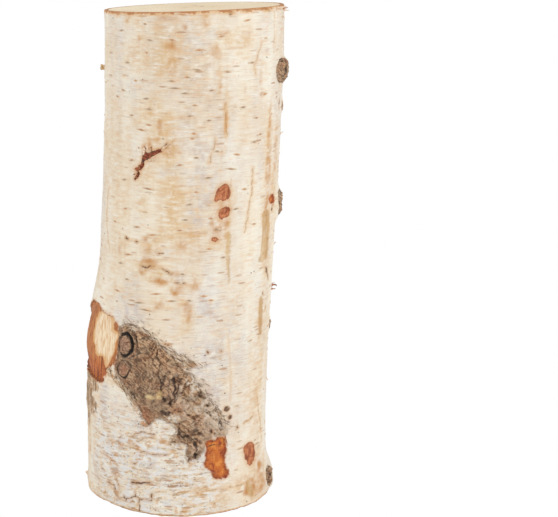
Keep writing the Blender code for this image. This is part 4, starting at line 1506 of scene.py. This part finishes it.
def scattering_tree(title, shape, material):
    """A tree that sets the shape on every point, as its size and facing say, and makes the result real."""
    tree = bpy.data.node_groups.new(title, "GeometryNodeTree")
    tree.interface.new_socket("Geometry", in_out="INPUT", socket_type="NodeSocketGeometry")
    for name in ("Height", "Depth", "Wobble"):
        tree.interface.new_socket(name, in_out="INPUT", socket_type="NodeSocketFloat")
    tree.interface.new_socket("Seed", in_out="INPUT", socket_type="NodeSocketInt")
    tree.interface.new_socket("Geometry", in_out="OUTPUT", socket_type="NodeSocketGeometry")
    given = add_node(tree, "NodeGroupInput").outputs

    def made(output, kind, sockets, **settings):
        return add_node(tree, kind, sockets, **settings).outputs[output]

    def attribute(name):
        return made("Attribute", "GeometryNodeInputNamedAttribute", {"Name": name}, data_type="FLOAT_VECTOR")

    across = made("Vector", "ShaderNodeCombineXYZ", {"X": 1.0, "Y": given["Depth"], "Z": given["Height"]})
    sized = made("Vector", "ShaderNodeVectorMath", {0: attribute("size"), 1: across}, operation="MULTIPLY")
    least = made(0, "ShaderNodeMath", {0: given["Wobble"], 1: -1.0}, operation="MULTIPLY")
    sockets = {2: least, 3: given["Wobble"], "Seed": given["Seed"]}
    tilt = made(1, "FunctionNodeRandomValue", sockets, data_type="FLOAT")
    tilted = made("Vector", "ShaderNodeCombineXYZ", {"Y": tilt})
    turned = made("Vector", "ShaderNodeVectorMath", {0: attribute("facing"), 1: tilted}, operation="ADD")
    source = made("Geometry", "GeometryNodeObjectInfo", {"Object": shape})
    sockets = {"Points": given["Geometry"], "Instance": source, "Rotation": turned, "Scale": sized}
    setting = made("Instances", "GeometryNodeInstanceOnPoints", sockets)
    real = made("Geometry", "GeometryNodeRealizeInstances", {"Geometry": setting})
    coated = made("Geometry", "GeometryNodeSetMaterial", {"Geometry": real, "Material": material})
    add_node(tree, "NodeGroupOutput", {"Geometry": coated})
    return tree


def scattered(name, points, shape_mesh, material, values):
    """The finished plain mesh of a scattering tree, as a piece."""
    carrier = add_piece(name + "_points", points)
    shape = add_piece(name + "_shape", shape_mesh)
    tree = scattering_tree(name, shape, material)
    modifier = carrier.modifiers.new(name, "NODES")
    modifier.node_group = tree
    for item in tree.interface.items_tree:
        if item.item_type == "SOCKET" and item.in_out == "INPUT" and item.name in values:
            modifier[item.identifier] = values[item.name]
    evaluated = carrier.evaluated_get(bpy.context.evaluated_depsgraph_get())
    mesh = bpy.data.meshes.new_from_object(evaluated)
    mesh.name = name
    carrier.modifiers.remove(modifier)
    bpy.data.objects.remove(carrier, do_unlink=True)
    bpy.data.objects.remove(shape, do_unlink=True)
    return add_piece(name, mesh)


def lenticel_cork():
    finish = Finish("lenticel_cork")
    grain = finish.noise(0.0010, 0.0004, 3.0, 0.6)
    tint = finish.noise(0.0090, 0.0060, 2.0, 0.5, shift=31.0)
    tan_cork = finish.over(finish.between(grain, 0.35, 0.65), paint(186, 132, 88), paint(216, 168, 122))
    grey_cork = finish.over(finish.between(grain, 0.35, 0.65), paint(156, 128, 102), paint(192, 166, 138))
    cork = finish.over(finish.between(tint, 0.44, 0.56), tan_cork, grey_cork)
    middle = finish.between(finish.value("along") + finish.value("aside") * 0.8, 1.1, 0.35)
    share = middle * finish.value("strength")
    colour = finish.over(share, paint(230, 210, 184), cork)
    return finish.shows(colour, finish.between(grain, 0.3, 0.7, 0.66, 0.82), grain, 0.0002)


lenticels = scattered(
    "lenticels", spot_mesh(lenticel_spots()), grain_mesh(), lenticel_cork(),
    {"Height": LENTICEL_HEIGHT, "Depth": LENTICEL_DEPTH, "Wobble": math.radians(9), "Seed": 3},
)
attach(lenticels, "root")
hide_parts("log")


# The fringe
# Loose fibres and slivers of dead bark that stand along the scar's upper edge, where the white paper has
# frayed. Each is a thin tapered splint that lies nearly flat and points down to the right.
# Each line: how many hairs, how far they spread to both sides in millimetres, and the points that it runs
# through
FRINGE_LINES = (
    (260, 1.2, ((-37, 115.5), (-29, 115.5), (-20, 112.5), (-10, 105.5), (-2.5, 99), (7, 88), (15, 77.5),
                (21, 71.5), (27, 63), (33, 54))),
    (48, 1.8, ((-8, 104), (0, 99), (8, 94.5), (12, 92.5))),
    (8, 1.5, ((13.5, 94.5), (19, 91.5))),
    (70, 1.5, ((-46.5, 86), (-40.5, 82.4), (-34.6, 79.4), (-29.2, 75), (-25.2, 69))),
)
FIBRE_HEIGHT = 0.00036
FIBRE_DEPTH = 0.00040


def fringe_points():
    random = np.random.default_rng(19)
    places = []
    facings = []
    sizes = []
    for count, spread, route in FRINGE_LINES:
        line = np.array([(math.radians(degrees), height * MM) for degrees, height in route])
        share = np.sort(random.uniform(0.0, len(line) - 1.001, count))
        index = share.astype(int)
        part = (share - index)[:, None]
        middle = line[index] * (1.0 - part) + line[index + 1] * part
        off = random.normal(0.0, 1.0, count) * spread * MM
        angle = middle[:, 0] + (off * 0.75 - 0.0006) / TRUNK_RADIUS
        height = middle[:, 1] + off * 0.66
        across = angle * TRUNK_RADIUS
        radius = trunk_radius(angle, height) + bark_relief(across, height, bark_marks(across, height))
        gap = nearest_outline(across, height, [SCAR], 0.0008, 36)
        radius = np.where(gap < 0.0, trunk_radius(angle, height) - 0.0004, radius)
        direction = line[index + 1] - line[index]
        slope = np.arctan2(direction[:, 1], direction[:, 0] * TRUNK_RADIUS)
        lean = random.uniform(-0.2, 0.2, count)
        places.append(at_radius(angle, height, radius))
        facings.append(np.stack([lean, random.normal(0.0, 0.35, count) - slope, angle], axis=-1))
        length = random.uniform(0.0022, 0.0068, count)
        sizes.append(np.stack([length, np.ones(count), random.uniform(0.5, 1.5, count)], axis=-1))
    mesh = bpy.data.meshes.new("fringe_points")
    mesh.from_pydata(np.concatenate(places).tolist(), [], [])
    store(mesh, "strength", random.uniform(0.0, 1.0, len(mesh.vertices)))
    store_vectors(mesh, "facing", np.concatenate(facings))
    store_vectors(mesh, "size", np.concatenate(sizes))
    return mesh


def splint_mesh():
    """A tapered splint, 1 long, that curves away from the bark at its far end."""
    rings = 6
    sides = 5
    points = []
    for ring in range(rings):
        share = ring / (rings - 1)
        width = 0.5 * (1.0 - share) ** 0.7 * (0.35 + 0.65 * min(1.0, share * 4.0))
        for side in range(sides):
            turn = 2.0 * math.pi * side / sides
            points.append((share - 0.4, width * math.cos(turn) - 0.9 * share**2.2, width * math.sin(turn)))
    faces = tube_faces(rings, sides)
    faces.append(tuple(range(sides))[::-1])
    faces.append(tuple((rings - 1) * sides + side for side in range(sides)))
    mesh = bpy.data.meshes.new("splint")
    mesh.from_pydata(points, [], faces)
    draft = bmesh.new()
    draft.from_mesh(mesh)
    bmesh.ops.remove_doubles(draft, verts=draft.verts, dist=1e-5)
    return write_shape(draft, mesh)


def fringe_fibre():
    finish = Finish("fringe_fibre")
    grain = finish.noise(0.0009, 0.0009, 3.0, 0.6)
    dark = finish.over(finish.between(grain, 0.35, 0.65), paint(92, 70, 54), paint(146, 114, 86))
    light = finish.over(finish.between(grain, 0.35, 0.65), paint(176, 140, 106), paint(222, 198, 166))
    colour = finish.over(finish.between(finish.value("strength"), 0.45, 0.75), dark, light)
    return finish.shows(colour, finish.between(grain, 0.3, 0.7, 0.75, 0.9), grain, 0.0002)


fringe = scattered(
    "scar_fringe", fringe_points(), splint_mesh(), fringe_fibre(),
    {"Height": FIBRE_HEIGHT, "Depth": FIBRE_DEPTH, "Wobble": math.radians(6), "Seed": 5},
)
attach(fringe, "root")
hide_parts("log")


# The peelings
# Curls of paper-thin bark that have let go at one end: round the hooked split, along the stripped place,
# at the frayed corner of the upper cut and on the right side. Each is a strip that rolls away from the
# trunk.
# Peelings: angle, height, length, width in mm, heading in degrees (0 is right, 90 is up), roll in
# degrees, paper or rust
PEELINGS = (
    (-27.6, 222, 5, 2.4, -70, 50, "paper"),
    (-25.4, 223, 4, 2, -56, 60, "paper"),
    (-22.8, 214.2, 6.5, 1.2, 22, 50, "paper"),
    (-14.5, 221.6, 6, 1.1, 38, 45, "paper"),
    (-30.5, 211.2, 3, 1.4, -50, 70, "rust"),
    (-31.6, 206.5, 2.6, 1.4, 200, 70, "rust"),
    (-62, 122.6, 8, 1.6, -28, 50, "paper"),
    (-80, 9.5, 4.6, 3.6, 186, 36, "paper"),
    (87.5, 127.8, 5.4, 1.7, 14, 190, "rust"),
    (86, 126.4, 3.6, 1.3, -22, 150, "rust"),
    (86, 129, 2.6, 1, 50, 120, "rust"),
    (66, 296.4, 5, 1.5, 20, 40, "paper"),
    (72, 296.8, 5.5, 1.6, 12, 50, "paper"),
    (79, 296.4, 5, 1.5, 4, 60, "rust"),
    (84, 295.6, 4.5, 1.5, -12, 80, "paper"),
    (86, 222, 3.4, 1.2, 20, 60, "paper"),
    (29.4, 200.6, 4, 1.2, -78, 50, "paper"),
    (33.5, 46, 5, 1.3, -84, 50, "rust"),
    (23.5, 25, 3.6, 1.2, -18, 60, "rust"),
    (88, 154, 3, 1.6, 10, 50, "paper"),
    (86, 70, 3, 1.6, -60, 40, "paper"),
)
PEELING_THICKNESS = 0.00022


def peeling_points(peeling):
    """A grid of points along a strip that starts on the bark and rolls away from it."""
    degrees, middle, length, width, heading, roll, _ = peeling
    steps = 12
    sides = 4
    head = math.radians(heading)
    rolled = math.radians(roll)
    rows = []
    for step in range(steps + 1):
        share = step / steps
        bent = rolled * share**1.6
        out = length * MM * (1.0 - math.cos(bent)) / max(rolled, 0.1) + 0.00012
        run = length * MM * math.sin(bent) / max(rolled, 0.1) if step else 0.0
        half = 0.5 * width * MM * (1.0 - 0.75 * share**1.5) * (1.0 + 0.25 * math.sin(share * 9.0 + degrees))
        row = []
        for side in range(sides + 1):
            aside = half * (2.0 * side / sides - 1.0)
            across = math.radians(degrees) * TRUNK_RADIUS + run * math.cos(head) - aside * math.sin(head)
            upward = middle * MM + run * math.sin(head) + aside * math.cos(head)
            row.append((across, upward, out))
        rows.append(row)
    grid = np.array(rows)
    across = grid[..., 0]
    upward = np.clip(grid[..., 1], 0.0, CUT_HEIGHT)
    start = bark_relief(across[:1], upward[:1], bark_marks(across[:1], upward[:1])).mean()
    angle = across / TRUNK_RADIUS
    radius = trunk_radius(angle, upward) + max(start, -0.0006) + grid[..., 2]
    return at_radius(angle, upward, radius)


def peelings_mesh():
    draft = bmesh.new()
    layer = draft.verts.layers.float.new("rusty")
    for peeling in PEELINGS:
        points = peeling_points(peeling)
        rusty = float(peeling[-1] == "rust")
        grid = [[draft.verts.new(point) for point in row] for row in points]
        for row in grid:
            for vert in row:
                vert[layer] = rusty
        faces = [
            draft.faces.new((low[i], low[i + 1], high[i + 1], high[i]))
            for low, high in zip(grid, grid[1:])
            for i in range(len(low) - 1)
        ]
        bmesh.ops.recalc_face_normals(draft, faces=faces)
        bmesh.ops.solidify(draft, geom=faces, thickness=PEELING_THICKNESS)
    return write_shape(draft, bpy.data.meshes.new("peelings"))


def peeling_paper():
    finish = Finish("peeling_paper")
    grain = finish.noise(0.0016, 0.0006, 4.0, 0.6)
    paper = finish.over(finish.between(grain, 0.35, 0.65), paint(214, 172, 130), paint(244, 230, 210))
    rust = finish.over(finish.between(grain, 0.35, 0.65), paint(146, 84, 50), paint(198, 132, 84))
    colour = finish.over(finish.value("rusty"), paper, rust)
    return finish.shows(colour, finish.between(grain, 0.3, 0.7, 0.6, 0.8), grain, 0.0002)


peelings = add_piece("peelings", peelings_mesh())
peelings.data.materials.append(peeling_paper())
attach(peelings, "root")
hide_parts("log")


# The twig stub
# A snapped twig, two millimetres long, on the left side near the top. It is a short tapering peg with a
# rough broken end, tan like the inner bark.
STUB_ANGLE = math.radians(-84.0)
STUB_HEIGHT = 0.2642
STUB_LENGTH = 0.0024
STUB_RADIUS = 0.0017


def stub_mesh():
    rings = 14
    sides = 24
    random = np.random.default_rng(23)
    bark_radius = trunk_radius(STUB_ANGLE, STUB_HEIGHT)
    base = at_radius(np.array(STUB_ANGLE), np.array(STUB_HEIGHT), bark_radius - BARK_THICKNESS)
    out = np.array([math.sin(STUB_ANGLE), -math.cos(STUB_ANGLE), 0.10])
    out = out / np.linalg.norm(out)
    side = np.array([math.cos(STUB_ANGLE), math.sin(STUB_ANGLE), 0.0])
    up = np.cross(side, out) * -1.0
    length = STUB_LENGTH + BARK_THICKNESS
    points = []
    for ring in range(rings):
        share = ring / (rings - 1)
        swelling = 0.9 * math.exp(-((share - 0.30) ** 2) / 0.02) * (share < 0.5)
        flare = 1.0 + swelling + 0.15 * math.sin(share * 7.0)
        for index in range(sides):
            turn = 2.0 * math.pi * index / sides
            wobble = 1.0 + 0.10 * math.sin(3.0 * turn + 1.0) + 0.05 * random.uniform(-1.0, 1.0)
            radius = STUB_RADIUS * flare * wobble * (1.0 if share < 0.93 else 0.82)
            reach = share * length + (0.0004 * random.uniform(-1.0, 1.0) if ring == rings - 1 else 0.0)
            points.append(base + out * reach + (side * math.cos(turn) + up * math.sin(turn)) * radius)
    faces = tube_faces(rings, sides)
    points.append(base + out * (length - 0.0003))
    points.append(base)
    last = (rings - 1) * sides
    tip = rings * sides
    for index in range(sides):
        beside = (index + 1) % sides
        faces.append((last + index, last + beside, tip))
        faces.append((beside, index, tip + 1))
    mesh = new_mesh("twig_stub", np.array(points), faces)
    draft = bmesh.new()
    draft.from_mesh(mesh)
    return write_shape(draft, mesh)


def twig_bark():
    finish = Finish("twig_bark")
    grain = finish.noise(0.0006, 0.0006, 4.0, 0.7)
    colour = finish.over(finish.between(grain, 0.34, 0.66), paint(184, 140, 92), paint(236, 208, 164))
    return finish.shows(colour, finish.between(grain, 0.3, 0.7, 0.7, 0.85), grain, 0.0003)


stub = add_piece("twig_stub", stub_mesh())
stub.data.materials.append(twig_bark())
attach(stub, "root")
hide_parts("log")


# The setting
# A plain white floor and surroundings, soft light from all round with a little more from the front sides,
# and a camera that looks at the log from its front, a little from above.
FLOOR_SIZE = 6.0
CAMERA_PLACE = (0.0644, -0.8652, 0.3408)
CAMERA_DROP = math.radians(12.7)
CAMERA_LENS = 93.1
LAMPS = (
    ("left_lamp", (-0.9, -0.7, 0.75), 0.8, 4.2),
    ("right_lamp", (1.0, -0.55, 0.65), 0.8, 5.2),
    ("top_lamp", (0.0, 0.1, 1.3), 0.9, 2.4),
)
ROOM_LIGHT = 0.60


def seen_white(tree, lit_output, plain_input, white_kind):
    """The camera sees plain white here, while the other rays see what is lit."""
    path = add_node(tree, "ShaderNodeLightPath")
    white = add_node(tree, white_kind, {"Color": (1.0, 1.0, 1.0, 1.0)})
    sockets = {0: path.outputs["Is Camera Ray"], 1: lit_output, 2: white.outputs[0]}
    tree.links.new(add_node(tree, "ShaderNodeMixShader", sockets).outputs[0], plain_input)


bpy.ops.mesh.primitive_plane_add(size=FLOOR_SIZE)
floor = bpy.context.object
floor.name = "floor"
floor_finish = bpy.data.materials.new("white_floor")
floor_finish.use_nodes = True
floor_tree = floor_finish.node_tree
floor_shader = floor_tree.nodes["Principled BSDF"]
floor_shader.inputs["Base Color"].default_value = (0.93, 0.93, 0.93, 1.0)
floor_shader.inputs["Roughness"].default_value = 0.9
floor_result = floor_tree.nodes["Material Output"].inputs[0]
seen_white(floor_tree, floor_shader.outputs[0], floor_result, "ShaderNodeEmission")
floor.data.materials.append(floor_finish)

world = bpy.data.worlds.new("white_room")
bpy.context.scene.world = world
world.use_nodes = True
world_tree = world.node_tree
room = world_tree.nodes["Background"]
room.inputs["Color"].default_value = (1.0, 1.0, 1.0, 1.0)
room.inputs["Strength"].default_value = ROOM_LIGHT
seen_white(world_tree, room.outputs[0], world_tree.nodes["World Output"].inputs[0], "ShaderNodeBackground")

for name, place, size, power in LAMPS:
    lamp = bpy.data.lights.new(name, "AREA")
    lamp.shape = "SQUARE"
    lamp.size = size
    lamp.energy = power
    holder = bpy.data.objects.new(name, lamp)
    holder.location = place
    aim = (np.array((0.01, 0.0, 0.15)) - np.array(place)).tolist()
    tilt_down = math.atan2(math.hypot(aim[0], aim[1]), -aim[2])
    holder.rotation_euler = (tilt_down, 0.0, math.atan2(aim[1], aim[0]) - math.pi / 2.0)
    bpy.context.scene.collection.objects.link(holder)

camera = bpy.data.cameras.new("camera")
camera.lens = CAMERA_LENS
camera.sensor_width = 36.0
camera_holder = bpy.data.objects.new("camera", camera)
camera_holder.location = CAMERA_PLACE
camera_holder.rotation_euler = (math.pi / 2.0 - CAMERA_DROP, 0.0, 0.0)
bpy.context.scene.collection.objects.link(camera_holder)
bpy.context.scene.camera = camera_holder
bpy.context.scene.view_settings.view_transform = "Standard"
